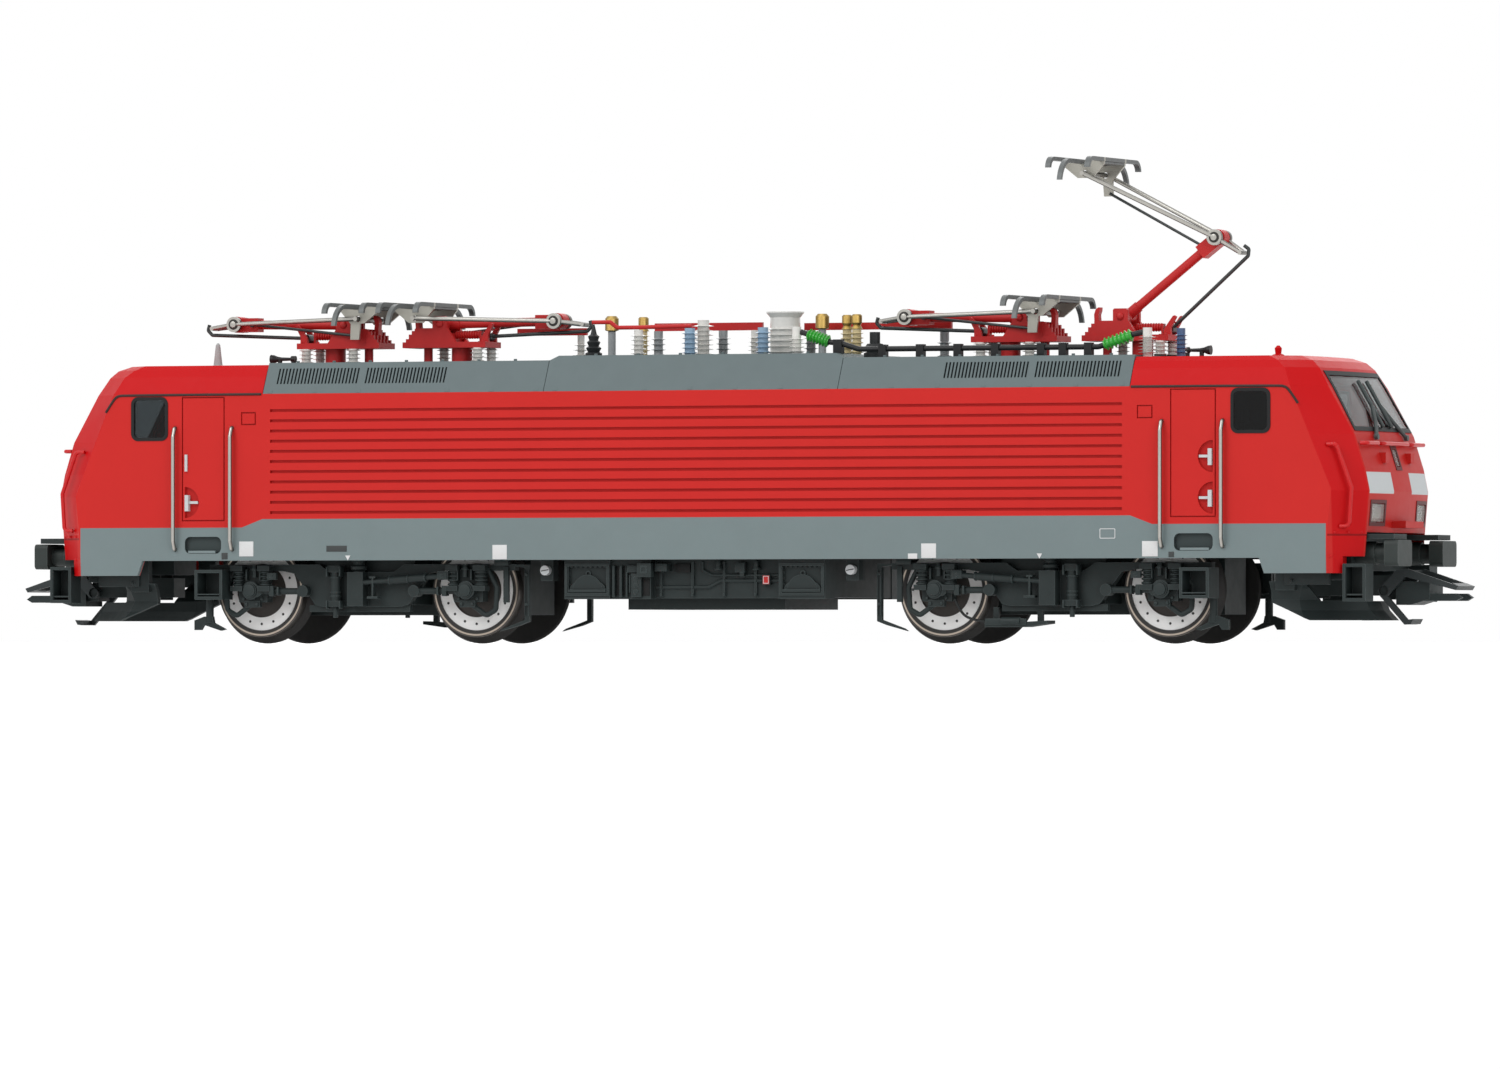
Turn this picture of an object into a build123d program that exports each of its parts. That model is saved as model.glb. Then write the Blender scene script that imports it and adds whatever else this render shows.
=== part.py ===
from build123d import *
import os
from math import atan2, cos, degrees, hypot, radians, sin, sqrt

# Scale model of a four-axle electric locomotive, 1:87, in millimetres
# X runs along the locomotive, Z is up, the origin is under its middle at the wheel flanges
# Heights are measured from the rail head, and each piece is lifted by the flange depth when it is written

# Running gear
FLANGE_DEPTH = 1.0
BOGIE_PIVOT_X = 56.9
WHEELBASE = 36.4
TREAD_RADIUS = 7.2
WHEEL_INNER_Y = 7.2
WHEEL_WIDTH = 2.8
FLANGE_WIDTH = 0.8
AXLE_RADIUS = 1.2
JOURNAL_RADIUS = 0.8
RUNNING_CLEARANCE = 0.25
DISC_OUTER_RADIUS = 6.2
DISC_INNER_RADIUS = 4.1
DISC_STEP = 0.25
HUB_RADIUS = 2.0

# Body
BODY_HALF_WIDTH = 17.3
SHELL_WALL = 1.0
SKIRT_HEIGHT = 11.8
SKIRT_LOW_X = 92.0
SKIRT_SLOPE_RUN = 1.0
EAVES_HEIGHT = 37.5
ROOF_HATCH_END_X = 71.5
HATCH_HEIGHT = EAVES_HEIGHT + 4.8
MIDDLE_HATCH_HEIGHT = HATCH_HEIGHT + 0.7
MIDDLE_HATCH_END_X = 24.2
HATCH_CHAMFER = 1.4
HATCH_WALL = 1.0
HATCH_JOINT = 0.1
ROOF_SIDE_LEAN = 0.5
SEAT_GAP = 0.1

# Cab outline by height: side crease, front edge and how far the middle bows forward
# columns: height, crease X, crease Y, front edge X, front edge Y, bow
CAB_SECTIONS = (
    (9.5, 102.4, 17.3, 107.0, 13.1, 0.7),
    (17.0, 102.9, 17.3, 107.6, 13.1, 0.7),
    (21.8, 103.4, 17.3, 108.0, 13.1, 0.7),
    (25.2, 102.0, 17.3, 107.3, 13.1, 0.7),
    (EAVES_HEIGHT - 7.3, 100.0, 17.3, 105.7, 13.1, 0.7),
    (EAVES_HEIGHT, 96.9, 17.3, 101.5, 13.1, 0.7),
    (EAVES_HEIGHT + 2.7, 95.6, 15.95, 99.8, 12.4, 0.7),
    (EAVES_HEIGHT + 3.8, 94.2, 15.3, 98.6, 11.9, 0.7),
    (EAVES_HEIGHT + 4.5, 92.6, 14.6, 96.6, 11.2, 0.7),
)
CORNER_STEP_X = 104.6
CORNER_STEP_HEIGHT = 12.0
FRONT_PANEL_HEIGHT = 15.6
BUFFER_BAY_HALF_WIDTH = 12.9
BUFFER_BAY_X = 103.0

# Windows, doors and recesses of the side walls
SIDE_WINDOW_X = (87.9, 93.5)
SIDE_WINDOW_HEIGHTS = (EAVES_HEIGHT - 6.8, EAVES_HEIGHT - 0.7)
WINDOW_CORNER = 0.8
WINDSCREEN_HEIGHTS = (EAVES_HEIGHT - 6.5, EAVES_HEIGHT + 1.9)
WINDSCREEN_HALF_WIDTHS = (12.3, 11.5)
GLASS_THICKNESS = 0.7
DOOR_X = (77.9, 85.2)
DOOR_HEIGHTS = (17.9, EAVES_HEIGHT - 0.4)
SEAM_WIDTH = 0.2
SEAM_DEPTH = 0.3
GROOVE_TOP_HEIGHT = EAVES_HEIGHT - 2.6
GROOVE_PITCH = 1.57
GROOVE_COUNT = 11
GROOVE_HALF_LENGTH = 70.2
GROOVE_WIDTH = 0.45
GROOVE_DEPTH = 0.4
HANDLE_RECESS_RADIUS = 2.4
HANDLE_RECESS_DEPTH = 0.5
STEP_SLOT_X = (78.5, 84.7)
STEP_SLOT_HEIGHTS = (12.9, 15.5)
STEP_SLOT_DEPTH = 0.7
HATCH_PLATE_X = (72.6, 75.1)
HATCH_PLATE_HEIGHTS = (EAVES_HEIGHT - 4.8, EAVES_HEIGHT - 2.8)

# Roof grilles: columns first X, last X
GRILLES = (
    (41.0, 54.7),
    (55.7, 69.6),
)
GRILLE_HEIGHTS = (HATCH_HEIGHT - 3.3, HATCH_HEIGHT - 0.9)
GRILLE_SLOTS = 24
GRILLE_SLOT_WIDTH = 0.28
GRILLE_DEPTH = 0.45
GUSSET_PITCH = 7.45
GUSSET_COUNT = 7
END_GUSSET_X = 25.5
GUSSET_WIDTH = 0.7
GUSSET_REACH = 0.55
GUSSET_HEIGHT = 1.2

# Front fittings
HEADLAMP_Y = 9.6
HEADLAMP_SIZE = (4.6, 2.8)
HEADLAMP_HEIGHT = 18.5
TOP_LAMP_SIZE = (1.5, 2.6)
TOP_LAMP_HEIGHT = WINDSCREEN_HEIGHTS[0] - 4.2
MARKER_Y = 5.6
MARKER_SIZE = 1.5
MARKER_DEPTH = 0.8
SHELF_SIZE = (2.2, 8.0, 1.0)
SHELF_HEIGHT = 16.8
BUFFER_FACE_X = 112.5
BUFFER_Y = 10.06
BUFFER_HEIGHT = 12.5
BUFFER_PLATE = (2.2, 6.3, 3.9)
BUFFER_SHANK_RADIUS = 1.5
BUFFER_SLEEVE_RADIUS = 1.75
BUFFER_SLEEVE_LENGTH = 3.2
STEP_PLATE_TOP = 15.35
STEP_PLATE_THICKNESS = 0.8
STEP_PLATE_REACH = 111.7
RAIL_WIRE_RADIUS = 0.3
WIPER_FOOT_Y = 6.6
WIPER_BLADE_Y = 1.9
WIPER_STAND_OFF = 0.5
WIPER_RADIUS = 0.3
RAIL_STAND_OFF = 0.9
FRONT_BAR_HEIGHT = WINDSCREEN_HEIGHTS[0] - 2.1
CORNER_RAIL_HEIGHTS = (16.5, FRONT_BAR_HEIGHT - 0.2)
CORNER_RAIL_BEND = 0.47
CORNER_RAIL_ACROSS = 0.26
CORNER_RAIL_REACH = 1.8
DOOR_RAIL_X = (76.6, 86.3)
DOOR_RAIL_HEIGHTS = (13.5, EAVES_HEIGHT - 5.2)
DOOR_RAIL_SLANT = 1.4
RAIL_FOOT = 0.35
CORNER_RAIL_START = 1.2 * RAIL_WIRE_RADIUS

# Chassis
CHASSIS_FLOOR = 16.2
CHASSIS_THICKNESS = 2.0
CHASSIS_SIDE_GAP = 0.2
BEAM_FRONT_X = 105.0
BEAM_DEPTH = 6.0
CHASSIS_HALF_LENGTH = BEAM_FRONT_X - 5.5
BEAM_BOTTOM = 9.9
BEAM_HALF_WIDTH = 12.6
CORNER_STEP_BOX_X = (104.8, 108.4)
CORNER_STEP_BOX_HEIGHTS = (5.3, 10.9)
# plough plan: columns height, how far the face stands back from its lower edge
PLOUGH_SECTIONS = (
    (2.0, 0.0),
    (4.0, 1.9),
    (5.6, 2.6),
    (7.2, 1.9),
    (9.0, 0.0),
)
PLOUGH_WALL = 0.8
PIVOT_PIN_RADIUS = 2.0
MOTOR_SIZE = (90.0, 20.0)
MOTOR_TOP = EAVES_HEIGHT - 4.3

# Bogie
SIDE_FRAME_INNER_Y = 10.9
SIDE_FRAME_THICKNESS = 1.5
# half of the side frame outline, mirrored about the bogie centre: columns X, height
SIDE_FRAME_OUTLINE = (
    (5.4, 10.0),
    (7.2, 11.2),
    (25.8, 11.2),
    (25.8, 10.2),
    (13.4, 10.2),
    (11.4, 9.8),
    (9.7, 7.6),
    (7.9, 5.0),
    (6.6, 4.7),
)
AXLE_BOX_RADIUS = 1.35
AXLE_CAP_RADIUS = 1.1
AXLE_BOX_FACE_Y = 14.2
SPRING_OFFSET_X = 2.3
SPRING_RADIUS = 0.95
SPRING_HEIGHTS = (7.8, 10.3)
SPRING_TURNS = 4
SPRING_Y = 13.2
# the brake hanger in front of each wheel: columns X outwards from the axle, height
BRAKE_LINE = ((3.2, 10.4), (4.7, 7.6), (4.5, 4.2), (2.9, 3.3), (0.6, 4.9))
BRAKE_Y = 12.6
BRAKE_RADIUS = 0.4
BOLSTER_X = (-1.1, 1.5)
BOLSTER_TOP = 10.0
BOLSTER_SPRING_RADIUS = 1.25
TRANSOM_TOP = 12.6
# the foot step under the near side frame: columns X, height
FOOT_STEP = ((-9.8, 1.5), (-3.4, 1.5), (0.3, 2.0), (0.3, 2.5), (-3.4, 2.3), (-9.8, 2.3))
FOOT_STEP_Y = (11.3, 14.6)
FOOT_HANGERS_X = (-9.0, -1.9)
STEP_BOX_X = (22.0, 26.7)
STEP_BOX_HEIGHTS = (5.8, 10.4)
STEP_BOX_FACE_Y = 16.0
BOX_WALL = 0.5
GEARBOX_HALF_LENGTH = 25.0
GUARD_Y = 12.0
GUARD_THICKNESS = 0.7

# Couplers
COUPLER_PIVOT_X = 96.0
COUPLER_PIN_X = 106.9
COUPLER_PIN_HEIGHT = 6.95
COUPLER_SHAFT = (2.0, 6.2, 9.2)
COUPLER_TIP_X = 118.9
COUPLER_HEAD_X = (108.6, 113.9)
COUPLER_HEAD_HEIGHTS = (4.8, 8.3)
COUPLER_HALF_WIDTH = 3.0
LINK_THICKNESS = 0.6

# Pantographs. The inner pair rises straight up, so that neighbours pass each other
# The ratios are the turn of the upper arm, thrust rod and guide rod for each degree of the lower arm
# columns: number, base pivot X, direction of the knee, raise in degrees, upper ratio, thrust ratio, guide ratio
PANTOGRAPHS = (
    (1, -64.4, -1, 0.0, -1.66, 1.049, -1.896),
    (2, -48.1, 1, 0.0, -1.9, 1.021, -2.183),
    (3, 48.1, -1, 0.0, -1.9, 1.021, -2.183),
    (4, 64.4, 1, 37.4, -1.66, 1.049, -1.896),
)
PIVOT_HEIGHT = HATCH_HEIGHT + 6.1
LOWER_ARM = 19.0
LOWER_FOLDED = 0.8
UPPER_ARM = 22.3
UPPER_FOLDED = 1.5
TAIL = 4.3
TAIL_DROP = 6.0
THRUST_PIVOT = (7.23, -2.0)
GUIDE_SETBACK = 2.8
GUIDE_TAB = (0.6, -2.6)
ARM_TUBE_RADIUS = 0.7
UPPER_WIRE_RADIUS = 0.35
THRUST_WIRE_RADIUS = 0.28
GUIDE_WIRE_RADIUS = 0.22
KNEE_HALF_WIDTH = 1.1
KNEE_RADIUS = 1.25
KNEE_PIN_RADIUS = 0.4
EAR_INNER_Y = 2.1
EAR_THICKNESS = 0.7
BASE_PLATE = (-6.15, 7.85, 3.0, HATCH_HEIGHT + 2.4, HATCH_HEIGHT + 3.3)
BASE_FINS_Y = (-2.5, -1.25, 0.0, 1.25, 2.5)
HEAD_PLATE_Y = 4.2
HEAD_PLATE_THICKNESS = 0.4
STRIP_SPACING = 6.3
STRIP_WIDTH = 0.8
STRIP_HEIGHT = 0.6
STRIP_TOP = 2.4
STRIP_FLAT_HALF = 9.2
STRIP_HALF = 11.1
STRIP_DROP = 1.7
HORN_FLAT_HALF = 10.0
HORN_HALF = 14.5
HORN_DROP = 3.3


# Helpers
def slab(x0, x1, y0, y1, z0, z1):
    centre = Pos((x0 + x1) / 2, (y0 + y1) / 2, (z0 + z1) / 2)
    return centre * Box(abs(x1 - x0), abs(y1 - y0), abs(z1 - z0))


def prism_xz(points, y0, y1):
    outline = make_face(Polyline(*[(x, y0, z) for x, z in points], close=True))
    return extrude(outline, amount=y1 - y0, dir=(0, 1, 0))


def prism_yz(points, x0, x1):
    outline = make_face(Polyline(*[(x0, y, z) for y, z in points], close=True))
    return extrude(outline, amount=x1 - x0, dir=(1, 0, 0))


def prism_xy(points, z0, z1):
    outline = make_face(Polyline(*[(x, y, z0) for x, y in points], close=True))
    return extrude(outline, amount=z1 - z0, dir=(0, 0, 1))


def bar(start, end, radius):
    line = Line(start, end)
    section = Plane(origin=start, z_dir=line % 0) * Circle(radius)
    return extrude(section, amount=line.length)


def post(x, y, z0, z1, radius):
    return Pos(x, y, (z0 + z1) / 2) * Cylinder(radius, z1 - z0)


def cross_pin(x, z, y0, y1, radius):
    return bar((x, y0, z), (x, y1, z), radius)


def wire(points, radius, bend):
    path = FilletPolyline(*points, radius=bend)
    section = Plane(origin=points[0], z_dir=path % 0) * Circle(radius)
    return sweep(section, path=path)


def lathe(profile):
    # profile of (radius, height) pairs, closed along the axis and turned about Z
    points = [(0, 0, profile[0][1])]
    points += [(radius, 0, height) for radius, height in profile]
    points += [(0, 0, profile[-1][1])]
    return revolve(make_face(Polyline(*points, close=True)), axis=Axis.Z)


def ribbed(core, rim, height, ribs, cap=0.0):
    # an insulator: thin sheds on a core, with a plain cap above them
    pitch = (height - cap) / ribs
    profile = [(core, 0)]
    for rib in range(ribs):
        base = rib * pitch
        profile.append((core, base + 0.4 * pitch))
        profile.append((rim, base + 0.55 * pitch))
        profile.append((core, base + 0.8 * pitch))
    profile.append((core, height))
    return lathe(profile)


def coil(radius, wire_radius, height, turns):
    # a close spring as a waved cylinder
    pitch = height / turns
    profile = [(radius - wire_radius, 0)]
    for turn in range(turns):
        base = turn * pitch
        profile.append((radius - wire_radius, base + 0.1 * pitch))
        profile.append((radius, base + 0.35 * pitch))
        profile.append((radius, base + 0.65 * pitch))
        profile.append((radius - wire_radius, base + 0.9 * pitch))
    profile.append((radius - wire_radius, height))
    return lathe(profile)


def both_sides(shape):
    return [shape, mirror(shape, about=Plane.XZ)]


def four_corners(shape):
    pair = both_sides(shape)
    return pair + [mirror(piece, about=Plane.YZ) for piece in pair]


def half_turn(shape):
    return Rot(0, 0, 180) * shape


def join(pieces):
    fused = pieces[0].fuse(*pieces[1:]) if len(pieces) > 1 else pieces[0]
    return Compound(children=list(fused)) if isinstance(fused, ShapeList) else fused


def save(name, pieces):
    lift = Pos(0, 0, FLANGE_DEPTH)
    solids = []
    for piece in pieces:
        solids += list((lift * piece).solids())
    shape = solids[0] if len(solids) == 1 else Compound(children=solids)
    shape.label = name
    os.makedirs("parts", exist_ok=True)
    export_step(shape, f"parts/{name}.step")


def cab_x(height, column):
    # an X of the cab outline at a height, between the two nearest sections
    rows = CAB_SECTIONS
    for low, high in zip(rows, rows[1:]):
        if low[0] <= height <= high[0]:
            share = (height - low[0]) / (high[0] - low[0])
            return low[column] + share * (high[column] - low[column])
    return rows[-1][column]


def edge_x(height):
    return cab_x(height, 3)


def front_x(height, y):
    # the bowed front surface between its two edges
    edge_y = cab_x(height, 4)
    bow = cab_x(height, 5)
    return edge_x(height) + bow * (1 - (y / edge_y) ** 2)


# Body shell
def plan_section(row, inset, lower):
    height, crease_x, crease_y, front, edge_y, bow = row
    cx = crease_x - inset
    cy = crease_y - inset
    ex = front - inset
    ey = edge_y - 0.6 * inset
    z = height - lower
    outline = [
        Line((-cx, -cy, z), (cx, -cy, z)),
        Line((cx, -cy, z), (ex, -ey, z)),
        ThreePointArc((ex, -ey, z), (ex + bow, 0, z), (ex, ey, z)),
        Line((ex, ey, z), (cx, cy, z)),
        Line((cx, cy, z), (-cx, cy, z)),
        Line((-cx, cy, z), (-ex, ey, z)),
        ThreePointArc((-ex, ey, z), (-ex - bow, 0, z), (-ex, -ey, z)),
        Line((-ex, -ey, z), (-cx, -cy, z)),
    ]
    return make_face(outline)


def body_form(inset):
    # the last section is lowered by the wall, so the roof keeps its thickness
    faces = []
    for number, row in enumerate(CAB_SECTIONS):
        last = number == len(CAB_SECTIONS) - 1
        faces.append(plan_section(row, inset, inset if last else 0.0))
    return loft(faces, ruled=True)


def rounded_window(x0, x1, z0, z1, y0, y1):
    blank = slab(x0, x1, y0, y1, z0, z1)
    return fillet(blank.edges().filter_by(Axis.Y), WINDOW_CORNER)


def windscreen_prism(margin):
    low, high = WINDSCREEN_HEIGHTS
    wide, narrow = WINDSCREEN_HALF_WIDTHS
    points = (
        (-wide + margin, low + margin),
        (wide - margin, low + margin),
        (narrow - margin, high - margin),
        (-narrow + margin, high - margin),
    )
    blank = prism_yz(points, 95.0, 112.0)
    return fillet(blank.edges().filter_by(Axis.X), WINDOW_CORNER)


def side_window_prism(margin):
    x0, x1 = SIDE_WINDOW_X
    z0, z1 = SIDE_WINDOW_HEIGHTS
    return rounded_window(x0 + margin, x1 - margin, z0 + margin, z1 - margin, 15.0, 19.0)


def lamp_prisms(margin):
    width, height = HEADLAMP_SIZE
    prisms = []
    for side in (-1, 1):
        y = side * HEADLAMP_Y
        half = width / 2 - margin
        prisms.append(slab(103, 112, y - half, y + half,
                           HEADLAMP_HEIGHT - height / 2 + margin, HEADLAMP_HEIGHT + height / 2 - margin))
    width, height = TOP_LAMP_SIZE
    half = width / 2 - margin
    prisms.append(slab(103, 112, -half, half,
                       TOP_LAMP_HEIGHT - height / 2 + margin, TOP_LAMP_HEIGHT + height / 2 - margin))
    return prisms


def seam(x0, x1, z0, z1):
    # a shallow line round a panel in the side wall
    depth = BODY_HALF_WIDTH - SEAM_DEPTH
    outer = slab(x0, x1, depth, 19, z0, z1)
    inner = slab(x0 + SEAM_WIDTH, x1 - SEAM_WIDTH, depth - 1, 20, z0 + SEAM_WIDTH, z1 - SEAM_WIDTH)
    return outer - inner


def half_disc(x, z, toward):
    # the finger recess behind a door handle, straight on its cabward side
    depth = BODY_HALF_WIDTH - HANDLE_RECESS_DEPTH
    disc = bar((x, depth, z), (x, 19, z), HANDLE_RECESS_RADIUS)
    keep = slab(x, x + toward * 4, depth - 1, 20, z - 4, z + 4)
    return disc & keep


def side_cuts():
    cuts = []
    depth = BODY_HALF_WIDTH - GROOVE_DEPTH
    for number in range(GROOVE_COUNT):
        z = GROOVE_TOP_HEIGHT - number * GROOVE_PITCH
        cuts.append(slab(-GROOVE_HALF_LENGTH, GROOVE_HALF_LENGTH, depth, 19,
                         z - GROOVE_WIDTH / 2, z + GROOVE_WIDTH / 2))
    cuts = [piece for cut in cuts for piece in both_sides(cut)]
    door = seam(*DOOR_X, *DOOR_HEIGHTS)
    plate = seam(*HATCH_PLATE_X, *HATCH_PLATE_HEIGHTS)
    slot = slab(*STEP_SLOT_X, BODY_HALF_WIDTH - STEP_SLOT_DEPTH, 19, *STEP_SLOT_HEIGHTS)
    slot = fillet(slot.edges().filter_by(Axis.Y), 0.9)
    for shape in (door, plate, slot):
        cuts += four_corners(shape)
    # one door of each side has two handles, the other has one
    straight_edge = DOOR_X[1] - 0.5
    upper = half_disc(straight_edge, 27.0, -1)
    lower = half_disc(straight_edge, 20.8, -1)
    for shape in (upper, lower):
        cuts += [mirror(shape, about=Plane.XZ), mirror(shape, about=Plane.YZ)]
    cuts += [lower, half_turn(lower)]
    return cuts


def body_shell():
    outer = body_form(0.0)
    inner = body_form(SHELL_WALL)
    wall = outer - inner
    end = SKIRT_LOW_X
    slope = SKIRT_SLOPE_RUN
    cuts = [
        prism_xz(((-end - slope, 9), (-end, SKIRT_HEIGHT), (end, SKIRT_HEIGHT), (end + slope, 9)), -20, 20),
        slab(-ROOF_HATCH_END_X, ROOF_HATCH_END_X, -20, 20, EAVES_HEIGHT, HATCH_HEIGHT + 3),
    ]
    for side in (-1, 1):
        cuts.append(slab(side * CORNER_STEP_X, side * 112, -20, 20, 9, CORNER_STEP_HEIGHT))
        cuts.append(slab(side * BUFFER_BAY_X, side * 112, -BUFFER_BAY_HALF_WIDTH, BUFFER_BAY_HALF_WIDTH,
                         9, FRONT_PANEL_HEIGHT))
    screen = windscreen_prism(0.0)
    cuts += [screen, half_turn(screen)]
    cuts += four_corners(side_window_prism(0.0))
    for prism in lamp_prisms(0.0):
        cuts += [prism, half_turn(prism)]
    cuts += side_cuts()
    shell = wall.cut(*cuts)
    fittings = []
    for y in (-MARKER_Y, MARKER_Y):
        x = front_x(TOP_LAMP_HEIGHT, y)
        fittings.append(slab(x - 0.5, x + MARKER_DEPTH, y - MARKER_SIZE / 2, y + MARKER_SIZE / 2,
                             TOP_LAMP_HEIGHT - MARKER_SIZE / 2, TOP_LAMP_HEIGHT + MARKER_SIZE / 2))
    reach, width, depth = SHELF_SIZE
    x = front_x(SHELF_HEIGHT, 0)
    fittings.append(slab(x - 0.8, x + reach, -width / 2, width / 2, SHELF_HEIGHT - depth / 2,
                         SHELF_HEIGHT + depth / 2))
    fittings += [half_turn(piece) for piece in fittings]
    base = CAB_SECTIONS[-1][0] - 0.1
    button = lathe(((0.9, 0), (0.9, 0.4), (0.45, 0.6), (0.55, 1.4), (0.2, 1.8)))
    fittings.append(Pos(90.6, -5.0, base) * button)
    return shell.fuse(*fittings)


def skin(thickness):
    return body_form(0.0) - body_form(thickness)


def glazing(glass):
    screen = windscreen_prism(SEAT_GAP)
    prisms = [screen, half_turn(screen)] + four_corners(side_window_prism(SEAT_GAP))
    return [glass & prism for prism in prisms]


def lamps(glass):
    pieces = []
    for prism in lamp_prisms(SEAT_GAP):
        pieces += [glass & prism, glass & half_turn(prism)]
    return pieces


# Roof hatches
def slope_y(height):
    return BODY_HALF_WIDTH - ROOF_SIDE_LEAN * (height - EAVES_HEIGHT)


def hatch_section(top, inset):
    foot = slope_y(EAVES_HEIGHT) - inset
    ridge = slope_y(top) - inset
    base = EAVES_HEIGHT - (1 if inset else 0)
    return ((-foot, base), (foot, base), (ridge, top - inset), (-ridge, top - inset))


def gusset(x):
    foot = slope_y(EAVES_HEIGHT + 0.1)
    top = EAVES_HEIGHT + 0.1 + GUSSET_HEIGHT
    points = (
        (foot - 0.3, EAVES_HEIGHT + 0.1),
        (foot + GUSSET_REACH - 0.5, EAVES_HEIGHT + 0.1),
        (slope_y(top) - 0.05, top),
        (slope_y(top) - 0.4, top),
    )
    return prism_yz(points, x - GUSSET_WIDTH / 2, x + GUSSET_WIDTH / 2)


def grille_slots(first, last):
    low, high = GRILLE_HEIGHTS
    pitch = (last - first) / GRILLE_SLOTS
    points = (
        (slope_y(low) - GRILLE_DEPTH, low),
        (slope_y(low) + 1, low),
        (slope_y(high) + 1, high),
        (slope_y(high) - GRILLE_DEPTH, high),
    )
    slots = []
    for number in range(GRILLE_SLOTS):
        x = first + (number + 0.5) * pitch
        slots.append(prism_yz(points, x - GRILLE_SLOT_WIDTH / 2, x + GRILLE_SLOT_WIDTH / 2))
    return slots


def end_hatch():
    x0 = MIDDLE_HATCH_END_X + HATCH_JOINT
    x1 = ROOF_HATCH_END_X - HATCH_JOINT
    shape = prism_yz(hatch_section(HATCH_HEIGHT, 0.0), x0, x1)
    shape -= prism_yz(hatch_section(HATCH_HEIGHT, HATCH_WALL), x0 + HATCH_WALL, x1 - HATCH_WALL)
    slots = []
    for first, last in GRILLES:
        for slot in grille_slots(first, last):
            slots += both_sides(slot)
    shape = shape.cut(*slots)
    gussets = []
    for number in range(GUSSET_COUNT):
        gussets += both_sides(gusset(END_GUSSET_X + number * GUSSET_PITCH))
    return shape.fuse(*gussets)


def middle_hatch():
    end = MIDDLE_HATCH_END_X
    shape = prism_yz(hatch_section(MIDDLE_HATCH_HEIGHT, 0.0), -end, end)
    shape -= prism_yz(hatch_section(MIDDLE_HATCH_HEIGHT, HATCH_WALL), -end + 2, end - 2)
    for side in (-1, 1):
        points = (
            (side * (end - HATCH_CHAMFER), MIDDLE_HATCH_HEIGHT),
            (side * (end + 1), MIDDLE_HATCH_HEIGHT),
            (side * (end + 1), HATCH_HEIGHT),
            (side * end, HATCH_HEIGHT),
        )
        shape -= prism_xz(points, -20, 20)
    gussets = []
    for number in range(GUSSET_COUNT):
        x = (number - (GUSSET_COUNT - 1) / 2) * GUSSET_PITCH
        gussets += both_sides(gusset(x))
    return shape.fuse(*gussets)


# Cab interior, one at each end
def cab_interior():
    floor_z = CHASSIS_FLOOR + CHASSIS_THICKNESS
    wide = 15.2
    floor = slab(72.2, 101.0, -wide, wide, floor_z, floor_z + 0.8)
    back = slab(72.2, 73.2, -wide, wide, floor_z, EAVES_HEIGHT - 0.4)
    sill = WINDSCREEN_HEIGHTS[0]
    desk_outline = ((97.0, floor_z), (101.5, floor_z), (103.2, sill - 2.0), (100.6, sill - 1.0),
                    (96.2, sill - 3.4), (98.4, sill - 4.6))
    desk = prism_xz(desk_outline, -12.0, 12.0)
    return join([floor, back, desk])


# Handrails and wipers
def door_rails():
    low, high = DOOR_RAIL_HEIGHTS
    wall = BODY_HALF_WIDTH
    out = wall + RAIL_STAND_OFF
    rails = []
    for x in DOOR_RAIL_X:
        points = ((x, wall, low), (x, wall + RAIL_FOOT, low), (x, out, low + DOOR_RAIL_SLANT),
                  (x, out, high - DOOR_RAIL_SLANT), (x, wall + RAIL_FOOT, high), (x, wall, high))
        rails += four_corners(wire(points, RAIL_WIRE_RADIUS, 0.35))
    return rails


def corner_point(height, forward):
    # a point in front of the angled corner panel
    cx = cab_x(height, 1)
    cy = cab_x(height, 2)
    ex = edge_x(height)
    ey = cab_x(height, 4)
    x = cx + CORNER_RAIL_ACROSS * (ex - cx) + forward
    y = cy + CORNER_RAIL_ACROSS * (ey - cy)
    return (x, y, height)


def front_rails():
    low, high = CORNER_RAIL_HEIGHTS
    middle = low + CORNER_RAIL_BEND * (high - low)
    reach = CORNER_RAIL_REACH
    start = CORNER_RAIL_START
    stations = ((high, start), (high, reach), (middle, reach), (low, reach), (low, start))
    points = [corner_point(height, forward) for height, forward in stations]
    rails = four_corners(wire(points, RAIL_WIRE_RADIUS, 0.7))
    for y0, y1 in ((-12.6, -7.6), (-5.6, 5.2), (7.2, 12.6)):
        x0 = front_x(FRONT_BAR_HEIGHT, y0)
        x1 = front_x(FRONT_BAR_HEIGHT, y1)
        out = max(x0, x1) + RAIL_STAND_OFF
        z = FRONT_BAR_HEIGHT
        points = ((x0 + 2 * SEAT_GAP, y0, z), (out, y0, z), (out, y1, z), (x1 + 2 * SEAT_GAP, y1, z))
        rail = wire(points, RAIL_WIRE_RADIUS, 0.35)
        rails += [rail, half_turn(rail)]
    return rails


def wipers():
    low, high = WINDSCREEN_HEIGHTS
    stations = ((WIPER_FOOT_Y, low - 1.1), (0.6 * WIPER_FOOT_Y, low + 1.2), (WIPER_BLADE_Y, low + 3.6))
    blade_heights = (low + 0.4, high - 1.0)
    pieces = []
    for side in (-1, 1):
        points = [(front_x(z, y) + WIPER_STAND_OFF, side * y, z) for y, z in stations]
        arm = wire(points, WIPER_RADIUS, 0.4)
        y, z = stations[0]
        foot = bar((front_x(z, y) + 0.25, side * y, z), (front_x(z, y) + 0.8, side * y, z), 0.45)
        ends = [(front_x(z, WIPER_BLADE_Y) + WIPER_STAND_OFF, side * WIPER_BLADE_Y, z) for z in blade_heights]
        blade = bar(*ends, WIPER_RADIUS)
        pieces.append(join([foot, arm, blade]))
    return pieces + [half_turn(piece) for piece in pieces]


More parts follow.
